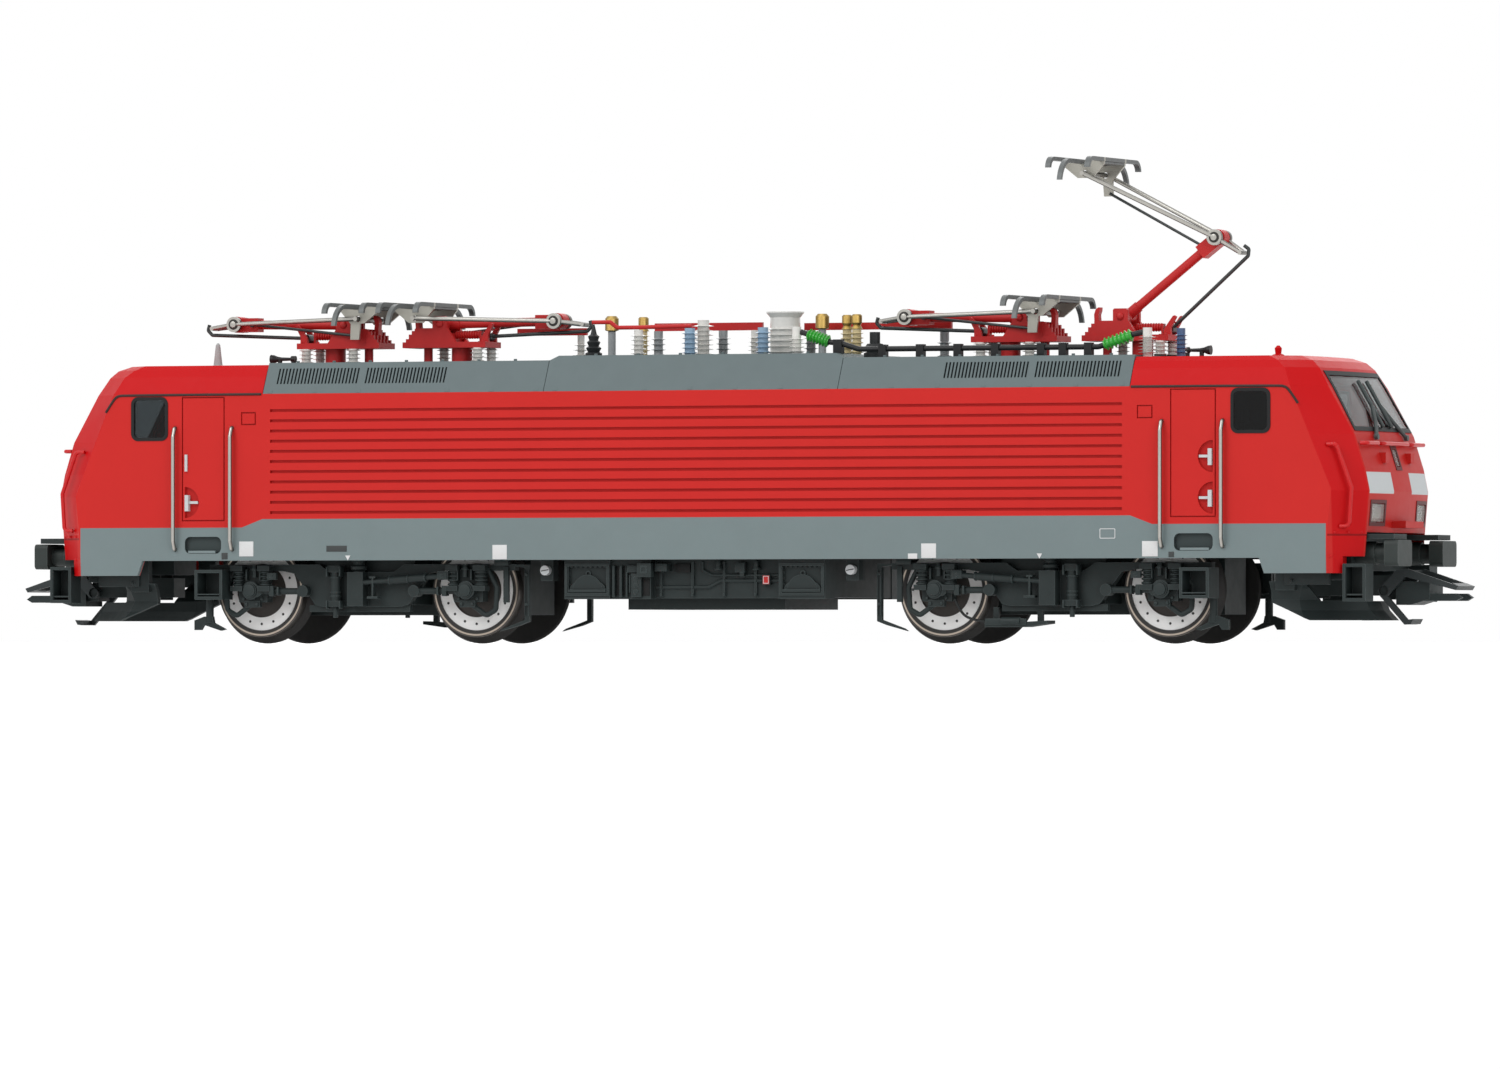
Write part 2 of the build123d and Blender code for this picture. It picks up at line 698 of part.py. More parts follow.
def door_handles():
    # flat white grips in the recesses, and one upright grip on the single-handled door
    pieces = []
    wall = BODY_HALF_WIDTH - HANDLE_RECESS_DEPTH
    x = DOOR_X[1] - 0.5
    for z in (20.8, 27.0):
        level = slab(x - 2.2, x - 0.2, wall, wall + 0.5, z - 0.2, z + 0.2)
        grip = slab(x - 0.7, x - 0.1, wall, wall + 0.8, z - 1.35, z + 1.15)
        handle = join([level, grip])
        pieces += [mirror(handle, about=Plane.XZ), mirror(handle, about=Plane.YZ)]
        if z < 25:
            pieces += [handle, half_turn(handle)]
    upright = slab(x - 0.5, x - 0.1, BODY_HALF_WIDTH, BODY_HALF_WIDTH + 0.3, 25.6, 28.2)
    pieces += [upright, half_turn(upright)]
    return pieces


# Chassis and what hangs from it
def chassis():
    top = CHASSIS_FLOOR + CHASSIS_THICKNESS
    side = BODY_HALF_WIDTH - SHELL_WALL - CHASSIS_SIDE_GAP
    pieces = [slab(-CHASSIS_HALF_LENGTH, CHASSIS_HALF_LENGTH, -side, side, CHASSIS_FLOOR, top)]
    for end in (-1, 1):
        wide = BEAM_HALF_WIDTH
        back = BEAM_FRONT_X - BEAM_DEPTH
        pieces.append(slab(end * back, end * BEAM_FRONT_X, -wide, wide, BEAM_BOTTOM, STEP_PLATE_TOP))
        pieces.append(slab(end * (back - 2.0), end * (back + 3.5), -wide, wide, BEAM_BOTTOM, top))
        pieces.append(slab(end * 92.8, end * 99.2, -4.0, 4.0, 9.7, CHASSIS_FLOOR + 0.5))
        pieces.append(post(end * COUPLER_PIVOT_X, 0, COUPLER_SHAFT[1] - 0.4, 10.0, 1.0))
        pieces.append(post(end * BOGIE_PIVOT_X, 0, 10.6, CHASSIS_FLOOR + 0.2, PIVOT_PIN_RADIUS))
    return join(pieces)


def motor_block():
    length, width = MOTOR_SIZE
    base = CHASSIS_FLOOR + CHASSIS_THICKNESS
    return slab(-length / 2, length / 2, -width / 2, width / 2, base, MOTOR_TOP)


def underfloor():
    top = CHASSIS_FLOOR
    core = slab(-21.4, 21.4, -12.0, 12.0, 6.0, top)
    tank = slab(-13.0, 13.0, -10.5, 10.5, 4.2, 6.2)
    pieces = [core, tank]
    side = []
    for x0, x1 in ((-21.5, -13.9), (13.9, 21.5)):
        box = slab(x0, x1, 11.5, 15.5, 5.8, top)
        box -= slab(x0 + 0.7, x1 - 0.5, 14.9, 16.0, 6.9, 10.9)
        middle = (x0 + x1) / 2
        moon = bar((middle, 14.0, 7.0), (middle, 15.4, 7.0), 2.5)
        moon &= slab(middle - 3, middle + 3, 13, 16, 6.9, 10)
        side += [box, moon]
    side.append(slab(-13.9, -7.4, 11.5, 15.0, 5.8, top))
    side.append(slab(-7.4, 13.9, 11.5, 13.4, 5.9, top))
    pipe_y = 13.5
    side.append(wire(((-7.0, pipe_y, 7.6), (1.6, pipe_y, 7.6), (3.6, pipe_y, 8.6), (14.2, pipe_y, 8.6)),
                     0.3, 0.8))
    side.append(wire(((0.6, pipe_y, 11.4), (0.6, pipe_y, 10.2), (2.2, pipe_y, 9.4), (14.2, pipe_y, 9.4)),
                     0.25, 0.5))
    for x in (-6.2, -1.0, 4.2, 9.4):
        side.append(slab(x - 0.2, x + 0.2, 13.3, 13.8, 6.2, 11.4))
    for x in (-25.2, 25.2):
        side.append(slab(x - 1.0, x + 1.0, 11.6, 13.6, 8.6, top))
    near = [mirror(piece, about=Plane.XZ) for piece in side]
    pieces += near + [half_turn(piece) for piece in near]
    for x in (-23.2, 23.2):
        pieces.append(slab(x - 2.4, x + 2.4, -13.0, 13.0, 13.0, top))
    return join(pieces)


def end_caps():
    # round white covers on the corner brackets of the underfloor row
    cap = bar((25.2, 13.6, 10.2), (25.2, 14.6, 10.2), 0.75)
    return four_corners(cap)


def plough_face(height, setback, inset):
    # plan of the plough at a height, open towards the bogie
    back = 92.0 - 4 * inset
    side_y = 13.4 - 0.7 * setback - inset
    knee_x = 98.0 - 0.7 * setback - 0.5 * inset
    nose_x = 107.5 - setback - inset
    nose_y = 4.5 - 0.3 * inset
    half = [(back, side_y), (knee_x, side_y - 0.4), (nose_x - 0.6, nose_y), (nose_x, 0.0)]
    points = half + [(x, -y) for x, y in reversed(half[:-1])]
    return make_face(Polyline(*[(x, y, height) for x, y in points], close=True))


def snow_plough():
    # hollow-faced plate below the buffer beam, hung from it by two arms
    outer = loft([plough_face(height, setback, 0.0) for height, setback in PLOUGH_SECTIONS], ruled=True)
    inner = loft([plough_face(height, setback, PLOUGH_WALL) for height, setback in PLOUGH_SECTIONS], ruled=True)
    side_view = ((91, 5.6), (98.2, 2.5), (108, 2.5), (108, 5.4), (98.6, 5.4), (97.2, 8.3), (91, 8.3))
    keep = prism_xz(side_view, -15, 15)
    plate = (outer - inner) & keep
    arms = []
    for side in (-1, 1):
        arms.append(slab(93.0, 96.0, side * 11.6, side * 12.8, 7.0, CHASSIS_FLOOR))
    return join([plate] + arms)


def corner_step():
    # open box step under each corner of the body, hung from the buffer beam
    x0, x1 = CORNER_STEP_BOX_X
    z0, z1 = CORNER_STEP_BOX_HEIGHTS
    y0 = BEAM_HALF_WIDTH
    box = slab(x0, x1, y0, STEP_BOX_FACE_Y, z0, z1)
    box -= slab(x0 + BOX_WALL, x1 - BOX_WALL, y0 + BOX_WALL, STEP_BOX_FACE_Y + 1, z0 + BOX_WALL, z1 - BOX_WALL)
    arm = slab(x0 - 2.0, x0 + 0.1, y0, y0 + 0.7, BEAM_BOTTOM, z1)
    return join([box, arm])


def buffers():
    depth, width, height = BUFFER_PLATE
    sleeve_end = BEAM_FRONT_X + BUFFER_SLEEVE_LENGTH
    plate = slab(BUFFER_FACE_X - depth, BUFFER_FACE_X, BUFFER_Y - width / 2, BUFFER_Y + width / 2,
                 BUFFER_HEIGHT - height / 2, BUFFER_HEIGHT + height / 2)
    plate = fillet(plate.edges().filter_by(Axis.X), 0.7)
    shank = bar((107.6, BUFFER_Y, BUFFER_HEIGHT), (BUFFER_FACE_X - depth + 0.2, BUFFER_Y, BUFFER_HEIGHT),
                BUFFER_SHANK_RADIUS)
    sleeve = bar((BEAM_FRONT_X, BUFFER_Y, BUFFER_HEIGHT), (sleeve_end, BUFFER_Y, BUFFER_HEIGHT),
                 BUFFER_SLEEVE_RADIUS)
    return four_corners(join([plate, shank, sleeve]))


def step_plates():
    # walkway plate above each buffer
    plate = slab(BEAM_FRONT_X, STEP_PLATE_REACH, BUFFER_Y - 3.0, BUFFER_Y + 2.6,
                 STEP_PLATE_TOP - STEP_PLATE_THICKNESS, STEP_PLATE_TOP)
    return four_corners(plate)


# Wheelsets and bogies
def wheelset():
    inner = WHEEL_INNER_Y
    outer = inner + WHEEL_WIDTH
    flange = TREAD_RADIUS + FLANGE_DEPTH
    profile = (
        (AXLE_RADIUS, 0.0),
        (AXLE_RADIUS, inner),
        (flange - 0.3, inner),
        (flange, inner + 0.3),
        (flange - 0.2, inner + FLANGE_WIDTH - 0.2),
        (TREAD_RADIUS, inner + FLANGE_WIDTH + 0.2),
        (TREAD_RADIUS, outer),
        (DISC_OUTER_RADIUS, outer),
        (DISC_OUTER_RADIUS, outer - DISC_STEP),
        (DISC_INNER_RADIUS, outer - DISC_STEP),
        (DISC_INNER_RADIUS, outer - 2 * DISC_STEP),
        (HUB_RADIUS, outer - DISC_STEP),
        (HUB_RADIUS, outer + 0.2),
        (JOURNAL_RADIUS, outer + 0.2),
        (JOURNAL_RADIUS, SIDE_FRAME_INNER_Y + 1.0),
    )
    half = lathe(profile)
    whole = half.fuse(mirror(half, about=Plane.XY))
    return Rot(90, 0, 0) * whole


def side_frame():
    points = [(x, z) for x, z in SIDE_FRAME_OUTLINE]
    points += [(-x, z) for x, z in reversed(SIDE_FRAME_OUTLINE)]
    inner = SIDE_FRAME_INNER_Y
    outer = inner + SIDE_FRAME_THICKNESS
    plate = prism_xz(points, inner, outer)
    lower_beam = slab(-8.0, 9.0, inner, outer - 0.4, 3.9, 4.9)
    pieces = [plate, lower_beam]
    axle_x = WHEELBASE / 2
    for end in (-1, 1):
        x = end * axle_x
        box = slab(x - 2.4, x + 2.4, inner, outer + 0.5, 5.4, 10.4)
        barrel = cross_pin(x, TREAD_RADIUS, outer, AXLE_BOX_FACE_Y - 0.3, AXLE_BOX_RADIUS)
        cap = cross_pin(x, TREAD_RADIUS, outer, AXLE_BOX_FACE_Y, AXLE_CAP_RADIUS)
        link = cross_link(x - end * 1.0, end * 9.4, TREAD_RADIUS - 0.1, 13.2)
        keeper = slab(x - 1.3, x + 1.3, outer, outer + 0.9, 4.6, 5.6)
        brake = wire([(x + end * dx, BRAKE_Y, z) for dx, z in BRAKE_LINE], BRAKE_RADIUS, 0.7)
        pieces += [box, barrel, cap, link, keeper, brake]
        for offset in (-SPRING_OFFSET_X, SPRING_OFFSET_X):
            low, high = SPRING_HEIGHTS
            spring = Pos(x + offset, SPRING_Y, low) * coil(SPRING_RADIUS, 0.3, high - low, SPRING_TURNS)
            seat = slab(x + offset - 1.0, x + offset + 1.0, outer, SPRING_Y + 1.0, high - 0.1, high + 0.7)
            saddle = slab(x + offset - 1.0, x + offset + 1.0, outer - 0.1, SPRING_Y + 1.0, low - 0.7, low + 0.1)
            pieces += [spring, seat, saddle]
    return pieces


def cross_link(x0, x1, z, y):
    # a guide link between an axle box and the frame, with a boss at each end
    pieces = [bar((x0, y, z), (x1, y, z), 0.5)]
    for x in (x0, x1):
        pieces.append(cross_pin(x, z, SIDE_FRAME_INNER_Y + 1.0, y + 0.7, 0.9))
    return join(pieces)


def bogie_side():
    outer = SIDE_FRAME_INNER_Y + SIDE_FRAME_THICKNESS
    pieces = side_frame()
    x0, x1 = BOLSTER_X
    pieces.append(slab(x0, x1, outer - 0.1, 14.5, 4.8, BOLSTER_TOP))
    height = CHASSIS_FLOOR - 0.9 - BOLSTER_TOP
    spring = coil(BOLSTER_SPRING_RADIUS, 0.35, height, 4)
    pieces.append(Pos((x0 + x1) / 2, 13.0, BOLSTER_TOP) * spring)
    damper_a = (-14.5, 14.0, 9.4)
    damper_b = (-1.0, 14.0, 8.4)
    pieces.append(bar(damper_a, damper_b, 0.4))
    pieces.append(bar((-11.5, 14.0, 9.18), (-5.5, 14.0, 8.73), 0.6))
    pieces.append(slab(-15.4, -13.7, outer - 0.1, 14.4, 8.8, 10.1))
    pieces.append(post(3.9, 13.5, 5.4, 10.6, 0.75))
    pieces.append(slab(2.9, 4.9, outer - 0.1, 14.3, 10.0, 11.0))
    pieces.append(slab(2.9, 4.9, outer - 0.1, 14.3, 4.7, 5.6))
    x0, x1 = STEP_BOX_X
    z0, z1 = STEP_BOX_HEIGHTS
    for end in (-1, 1):
        box = slab(end * x0, end * x1, outer - 0.2, STEP_BOX_FACE_Y, z0, z1)
        box -= slab(end * (x0 + BOX_WALL), end * (x1 - BOX_WALL), outer + 0.4, STEP_BOX_FACE_Y + 1,
                    z0 + BOX_WALL, z1 - BOX_WALL)
        if end == 1:
            pieces.append(box)
            pieces.append(post(26.0, GUARD_Y, 2.2, z0 + 0.3, 0.6))
            pieces.append(slab(25.2, 26.6, 11.4, outer + 0.2, z0, z1))
            foot = ((23.2, 1.2), (24.0, 1.0), (26.9, 1.9), (27.4, 1.1), (28.5, 1.1), (28.5, 2.6), (26.8, 3.2),
                    (25.4, 3.2), (25.2, 2.2))
            pieces.append(prism_xz(foot, GUARD_Y - GUARD_THICKNESS / 2, GUARD_Y + GUARD_THICKNESS / 2))
    hanger = ((-25.6, 10.9), (-27.4, 10.6), (-27.4, 2.6), (-23.8, 1.3), (-23.2, 0.9), (-26.6, 1.8), (-28.2, 2.4),
              (-28.2, 11.1), (-25.6, 11.1))
    pieces.append(prism_xz(hanger, GUARD_Y - GUARD_THICKNESS / 2, GUARD_Y + GUARD_THICKNESS / 2))
    return pieces


def foot_step():
    # on the near side only
    y0, y1 = FOOT_STEP_Y
    pieces = [prism_xz(FOOT_STEP, -y1, -y0)]
    for x in FOOT_HANGERS_X:
        pieces.append(slab(x - 0.4, x + 0.4, -SIDE_FRAME_INNER_Y - SIDE_FRAME_THICKNESS + 0.4, -y0 + 0.1, 2.1, 4.5))
    return pieces


def bogie():
    # drawn for the end at positive X, with its outer end towards positive X
    pieces = []
    for piece in bogie_side():
        pieces += both_sides(piece)
    across = SIDE_FRAME_INNER_Y + 0.2
    transom = slab(-8.4, 8.4, -across, across, 5.0, TRANSOM_TOP)
    gearbox = slab(-GEARBOX_HALF_LENGTH, GEARBOX_HALF_LENGTH, -4.5, 4.5, 3.4, CHASSIS_FLOOR - 0.9)
    plate = post(0, 0, 9.0, CHASSIS_FLOOR - 0.3, 5.0)
    whole = join([transom, gearbox, plate] + pieces + foot_step())
    cuts = [post(0, 0, 10.2, CHASSIS_FLOOR, PIVOT_PIN_RADIUS + RUNNING_CLEARANCE)]
    for x in (-WHEELBASE / 2, WHEELBASE / 2):
        reach = SIDE_FRAME_INNER_Y + 1.0 + RUNNING_CLEARANCE
        cuts.append(cross_pin(x, TREAD_RADIUS, -6, 6, AXLE_RADIUS + RUNNING_CLEARANCE))
        cuts.append(cross_pin(x, TREAD_RADIUS, -reach, reach, JOURNAL_RADIUS + RUNNING_CLEARANCE))
    return whole.cut(*cuts)


# Couplers
def coupler_shaft():
    half, z0, z1 = COUPLER_SHAFT
    pivot = COUPLER_PIVOT_X
    shaft = slab(pivot - 2.2, COUPLER_PIN_X + 1.0, -half, half, z0, z1)
    pin = cross_pin(COUPLER_PIN_X, COUPLER_PIN_HEIGHT, -3.4, 3.4, 0.6)
    x0, x1 = COUPLER_HEAD_X
    h0, h1 = COUPLER_HEAD_HEIGHTS
    head_outline = ((x0, h0), (x0 + 2.3, h0), (x1, h0 + 0.9), (x1, h1), (x0, h1))
    head = prism_xz(head_outline, -COUPLER_HALF_WIDTH, COUPLER_HALF_WIDTH)
    neck = slab(COUPLER_PIN_X, x0 + 0.2, -half, half, h0 + 0.8, h1)
    prong_outline = ((x1 - 1.0, 5.4), (COUPLER_TIP_X - 0.9, 5.4), (COUPLER_TIP_X, 5.9), (COUPLER_TIP_X - 0.9, 6.5),
                     (x1 - 1.0, 6.5))
    pieces = [shaft, pin, head, neck]
    for side in (-1, 1):
        pieces.append(prism_xz(prong_outline, side * 2.0, side * 2.9))
    hole = post(pivot, 0, 5, 10, 1.0 + RUNNING_CLEARANCE)
    return join(pieces) - hole


def coupler_hoop():
    # side links on the pin, the hoop in front and the trip lever below
    px = COUPLER_PIN_X
    pz = COUPLER_PIN_HEIGHT
    inner = COUPLER_HALF_WIDTH + 0.25
    outer = inner + LINK_THICKNESS
    link = ((px - 1.0, pz), (px - 0.5, pz - 0.9), (px + 0.6, pz - 0.8), (px + 3.4, 9.0), (COUPLER_TIP_X - 0.6, 7.0),
            (COUPLER_TIP_X - 0.2, 7.6), (px + 3.8, 10.2), (px + 2.0, 10.0))
    pieces = [prism_xz(link, side * inner, side * outer) for side in (-1, 1)]
    pieces.append(prism_xz(((COUPLER_TIP_X - 1.5, 7.3), (COUPLER_TIP_X - 0.6, 7.0), (COUPLER_TIP_X - 0.2, 7.6),
                            (COUPLER_TIP_X - 1.3, 8.05)), -inner - 0.1, inner + 0.1))
    pieces.append(slab(px + 2.4, px + 3.8, -inner - 0.1, inner + 0.1, 9.2, 10.0))
    lever = ((px - 0.6, pz - 0.8), (px + 0.6, pz - 0.8), (px + 3.8, 2.6), (px + 4.7, 2.7), (px + 4.3, 1.95),
             (px + 3.3, 1.85))
    pieces.append(prism_xz(lever, -outer, -inner))
    pieces.append(prism_xz(((px + 3.5, 1.87), (px + 4.3, 1.95), (px + 4.7, 2.7), (px + 3.9, 2.6)), -outer, 0.6))
    hole = cross_pin(px, pz, -5, 5, 0.6 + 0.15)
    return join(pieces) - hole


# Roof equipment
# columns: X, Y, core radius, rim radius, height, ribs, plain cap
WHITE_INSULATORS = (
    (-27.4, 4.5, 0.55, 1.3, 4.3, 4, 1.2),
    (-12.8, -7.0, 0.7, 1.3, 4.0, 5, 0.6),
    (-5.0, 0.0, 0.9, 1.7, 5.6, 7, 0.6),
    (1.8, 4.5, 0.7, 1.25, 4.1, 5, 0.9),
    (15.4, -12.0, 0.7, 1.3, 4.1, 4, 1.6),
    (72.3, -12.0, 0.7, 1.5, 4.0, 6, 1.2),
)
GREY_INSULATORS = (
    (-14.4, 4.5, 0.7, 1.2, 4.1, 4, 0.9),
    (-3.6, 4.5, 0.7, 1.2, 4.1, 4, 0.9),
    (11.0, 4.5, 0.7, 1.2, 4.0, 4, 0.9),
    (33.0, 4.5, 0.7, 1.2, 4.4, 3, 1.4),
)
BLUE_INSULATORS = (
    (-4.3, -7.0, 0.8, 1.3, 4.2, 5, 0.5),
    (7.8, -7.0, 0.8, 1.3, 4.2, 5, 0.5),
    (75.8, -7.0, 0.65, 1.0, 4.0, 5, 0.8),
)
CREAM_INSULATORS = (
    (-16.9, 4.5, 0.6, 1.1, 4.1, 5, 0.4),
    (18.2, 1.5, 0.7, 1.1, 4.0, 5, 0.4),
    (21.0, -1.5, 0.7, 1.1, 4.0, 5, 0.4),
)
BUSHING = (9.0, -1.0)


def roof_height(x):
    if abs(x) < MIDDLE_HATCH_END_X:
        return MIDDLE_HATCH_HEIGHT
    if abs(x) < ROOF_HATCH_END_X:
        return HATCH_HEIGHT
    return CAB_SECTIONS[-1][0]


def stand_insulators(rows):
    pieces = []
    for x, y, core, rim, height, ribs, cap in rows:
        seat = roof_height(x)
        base = seat if abs(x) < ROOF_HATCH_END_X else HATCH_HEIGHT + SEAT_GAP
        pieces.append(Pos(x, y, base) * ribbed(core, rim, height, ribs, cap) + post(x, y, seat, base + 0.1, core))
    return pieces


def bushing():
    x, y = BUSHING
    base = ribbed(2.3, 2.9, 4.4, 5)
    neck = Pos(0, 0, 4.4) * lathe(((2.3, 0), (2.3, 1.4), (2.9, 2.1), (2.9, 2.3), (0.6, 2.5)))
    return Pos(x, y, roof_height(x)) * base.fuse(neck)


def white_insulators():
    return stand_insulators(WHITE_INSULATORS) + [bushing()]


def brass_contacts():
    pieces = []
    cap_z = roof_height(0) + 4.0
    for x, y in ((-20.7, 1.0), (14.3, 1.0)):
        pieces.append(Pos(x, y, cap_z) * lathe(((0.5, 0), (1.05, 0.2), (1.05, 2.0), (0.7, 2.4))))
    for x, y, core, rim, height, ribs, cap in CREAM_INSULATORS:
        z = roof_height(x) + height
        lobe = lathe(((0.9, 0), (0.55, 0.5), (0.8, 0.9), (0.8, 2.0), (0.6, 2.2)))
        pieces.append(Pos(x, y, z) * lobe)
    return pieces


def grey_posts():
    pieces = []
    for x, y in ((-20.7, 1.0), (14.3, 1.0)):
        base = roof_height(x)
        foot = post(x, y, base, base + 0.4, 1.1)
        pieces.append(foot.fuse(post(x, y, base, base + 4.0, 0.6)))
    return pieces


def black_fittings():
    arrester = lathe(((1.3, 0), (1.3, 0.5), (0.9, 0.7), (1.2, 1.3), (0.8, 1.6), (1.05, 2.2), (0.7, 2.5),
                      (0.9, 3.1), (0.5, 3.4), (0.15, 4.9)))
    two_tier = lathe(((1.7, 0), (1.7, 0.8), (1.2, 1.0), (1.6, 1.6), (1.2, 2.2), (0.8, 2.3), (0.8, 4.0)))
    return [
        Pos(-20.3, -7.0, roof_height(0)) * arrester,
        Pos(26.2, -7.0, roof_height(30)) * two_tier,
    ]


# columns: first X, last X, underside and top above the end hatches
BUSBARS = (
    (-38.0, -26.4, 4.3, 5.4),
    (-14.9, 3.0, 4.8, 6.0),
    (10.0, 34.2, 4.7, 5.8),
)
BUSBAR_Y = 4.5
BUSBAR_THICKNESS = 0.7
# the bent rod: columns X, height above the middle hatch
ROOF_ROD = ((-20.5, 5.25), (-17.5, 5.25), (-16.4, 4.4), (-12.8, 4.4), (-4.0, 4.55))
ROOF_ROD_Y = -7.0


def busbars():
    half = BUSBAR_THICKNESS / 2
    bars = []
    for x0, x1, low, high in BUSBARS:
        bars.append(slab(x0, x1, BUSBAR_Y - half, BUSBAR_Y + half, HATCH_HEIGHT + low, HATCH_HEIGHT + high))
    rod_points = [(x, ROOF_ROD_Y, MIDDLE_HATCH_HEIGHT + rise) for x, rise in ROOF_ROD]
    return bars + [wire(rod_points, 0.32, 0.6)]


CABLE_Y = -12.0
CABLE_HEIGHT = HATCH_HEIGHT + 1.3
CABLE_RADIUS = 0.42
CABLE_CLAMPS = (29.6, 35.7, 41.8, 47.9, 55.3, 58.8, 62.9)


def roof_cable():
    y = CABLE_Y
    middle = MIDDLE_HATCH_HEIGHT
    points = ((16.15, y, middle + 3.3), (20.9, y, middle + 1.7), (22.4, y, middle + 1.6), (25.6, y, CABLE_HEIGHT),
              (64.5, y, CABLE_HEIGHT), (70.0, y, CABLE_HEIGHT + 1.8), (71.5, y, CABLE_HEIGHT + 2.1))
    cable = wire(points, CABLE_RADIUS, 1.2)
    clamps = []
    for x in CABLE_CLAMPS:
        clamps.append(slab(x - 0.6, x + 0.6, y - 0.6, y + 0.6, roof_height(x), CABLE_HEIGHT + 0.65))
    clamps.append(slab(21.6, 23.0, y - 0.6, y + 0.6, middle, middle + 2.1))
    return [cable.fuse(*clamps)]


def cable_sleeves():
    pieces = []
    middle = MIDDLE_HATCH_HEIGHT
    spans = (
        ((17.3, middle + 2.92), (20.7, middle + 1.77)),
        ((65.4, CABLE_HEIGHT + 0.295), (69.85, CABLE_HEIGHT + 1.75)),
    )
    for start, end in spans:
        length = hypot(end[0] - start[0], end[1] - start[1])
        tilt = degrees(atan2(end[0] - start[0], end[1] - start[1]))
        sleeve = ribbed(0.65, 1.0, length, 7)
        sleeve -= Cylinder(0.5, 3 * length)
        pieces.append(Pos(start[0], CABLE_Y, start[1]) * Rot(0, tilt, 0) * sleeve)
    return pieces


def horns():
    x = 75.9
    base = roof_height(x)
    z = base + 1.25
    trumpet = lathe(((0.5, -2.1), (0.5, -1.4), (0.25, -1.2), (0.3, 0.3), (0.42, 1.0), (0.66, 1.6), (0.72, 2.1)))
    horn = Pos(x, 0, z) * Rot(0, 90, 0) * trumpet
    feet = [post(x - 1.75, 0, base, z, 0.4), post(x + 0.6, 0, base, z, 0.35)]
    horn = horn.fuse(*feet)
    return [horn, half_turn(horn)]


def antennas():
    base = CAB_SECTIONS[-1][0]
    cone = lathe(((1.1, 0), (1.1, 0.2), (0.7, 0.3), (0.35, 3.4), (0.15, 3.7)))
    return [Pos(-84.8, -5.0, base) * cone]


# Pantographs, drawn with the knee towards positive X from the base pivot at the origin
def at_angle(start, length, angle):
    return (start[0] + length * cos(radians(angle)), start[1] + length * sin(radians(angle)))


def pantograph_points(lift=0.0, upper_ratio=0.0):
    # the joint positions of the linkage with the lower arm lifted by an angle
    lower = LOWER_FOLDED + lift
    upper = 180 - UPPER_FOLDED + lift * (1 + upper_ratio)
    knee = at_angle((0, 0), LOWER_ARM, lower)
    head = at_angle(knee, UPPER_ARM, upper)
    tail = at_angle(knee, TAIL, upper - 180 - TAIL_DROP)
    guide = at_angle(knee, GUIDE_SETBACK, lower + 180)
    return {"lower": lower, "upper": upper, "knee": knee, "head": head, "tail": tail, "guide": guide}


def lower_arm_form():
    p = pantograph_points()
    kx, kz = p["knee"]
    gx, gz = p["guide"]
    hub = cross_pin(0, 0, -EAR_INNER_Y + 0.2, EAR_INNER_Y - 0.2, 1.0)
    tube = bar((0, 0, 0), (kx, 0, kz), ARM_TUBE_RADIUS)
    collar = bar((0, 0, 0), (0.13 * kx, 0, 0.13 * kz), 0.85)
    knee = cross_pin(kx, kz, -KNEE_HALF_WIDTH, KNEE_HALF_WIDTH, KNEE_RADIUS)
    web = slab(gx - 0.8, kx, -KNEE_HALF_WIDTH, KNEE_HALF_WIDTH, kz - 1.15, kz + 1.0)
    shaft = cross_pin(0, 0, -EAR_INNER_Y - EAR_THICKNESS, EAR_INNER_Y + EAR_THICKNESS, 0.5)
    whole = join([hub, tube, collar, knee, web, shaft])
    return whole - cross_pin(kx, kz, -3, 3, KNEE_PIN_RADIUS + 0.12)


def upper_arm_form():
    p = pantograph_points()
    kx, kz = p["knee"]
    hx, hz = p["head"]
    tx, tz = p["tail"]
    near = KNEE_HALF_WIDTH + UPPER_WIRE_RADIUS + 0.6
    wide = HEAD_PLATE_Y + HEAD_PLATE_THICKNESS + UPPER_WIRE_RADIUS + 0.4
    radius = UPPER_WIRE_RADIUS
    pieces = [cross_pin(hx, hz, -wide - radius, wide + radius, radius)]
    pieces.append(cross_pin(kx, kz, -near, near, KNEE_PIN_RADIUS))
    pieces.append(cross_pin(tx, tz, -0.9 - radius, 0.9 + radius, radius))
    for side in (-1, 1):
        pieces.append(bar((hx, side * wide, hz), (kx, side * near, kz), radius))
        pieces.append(bar((kx, side * near, kz), (tx, side * 0.9, tz), radius))
        ring = cross_pin(kx, kz, side * (near - 0.35), side * (near + 0.35), 1.2)
        pieces.append(ring)
    return join(pieces)


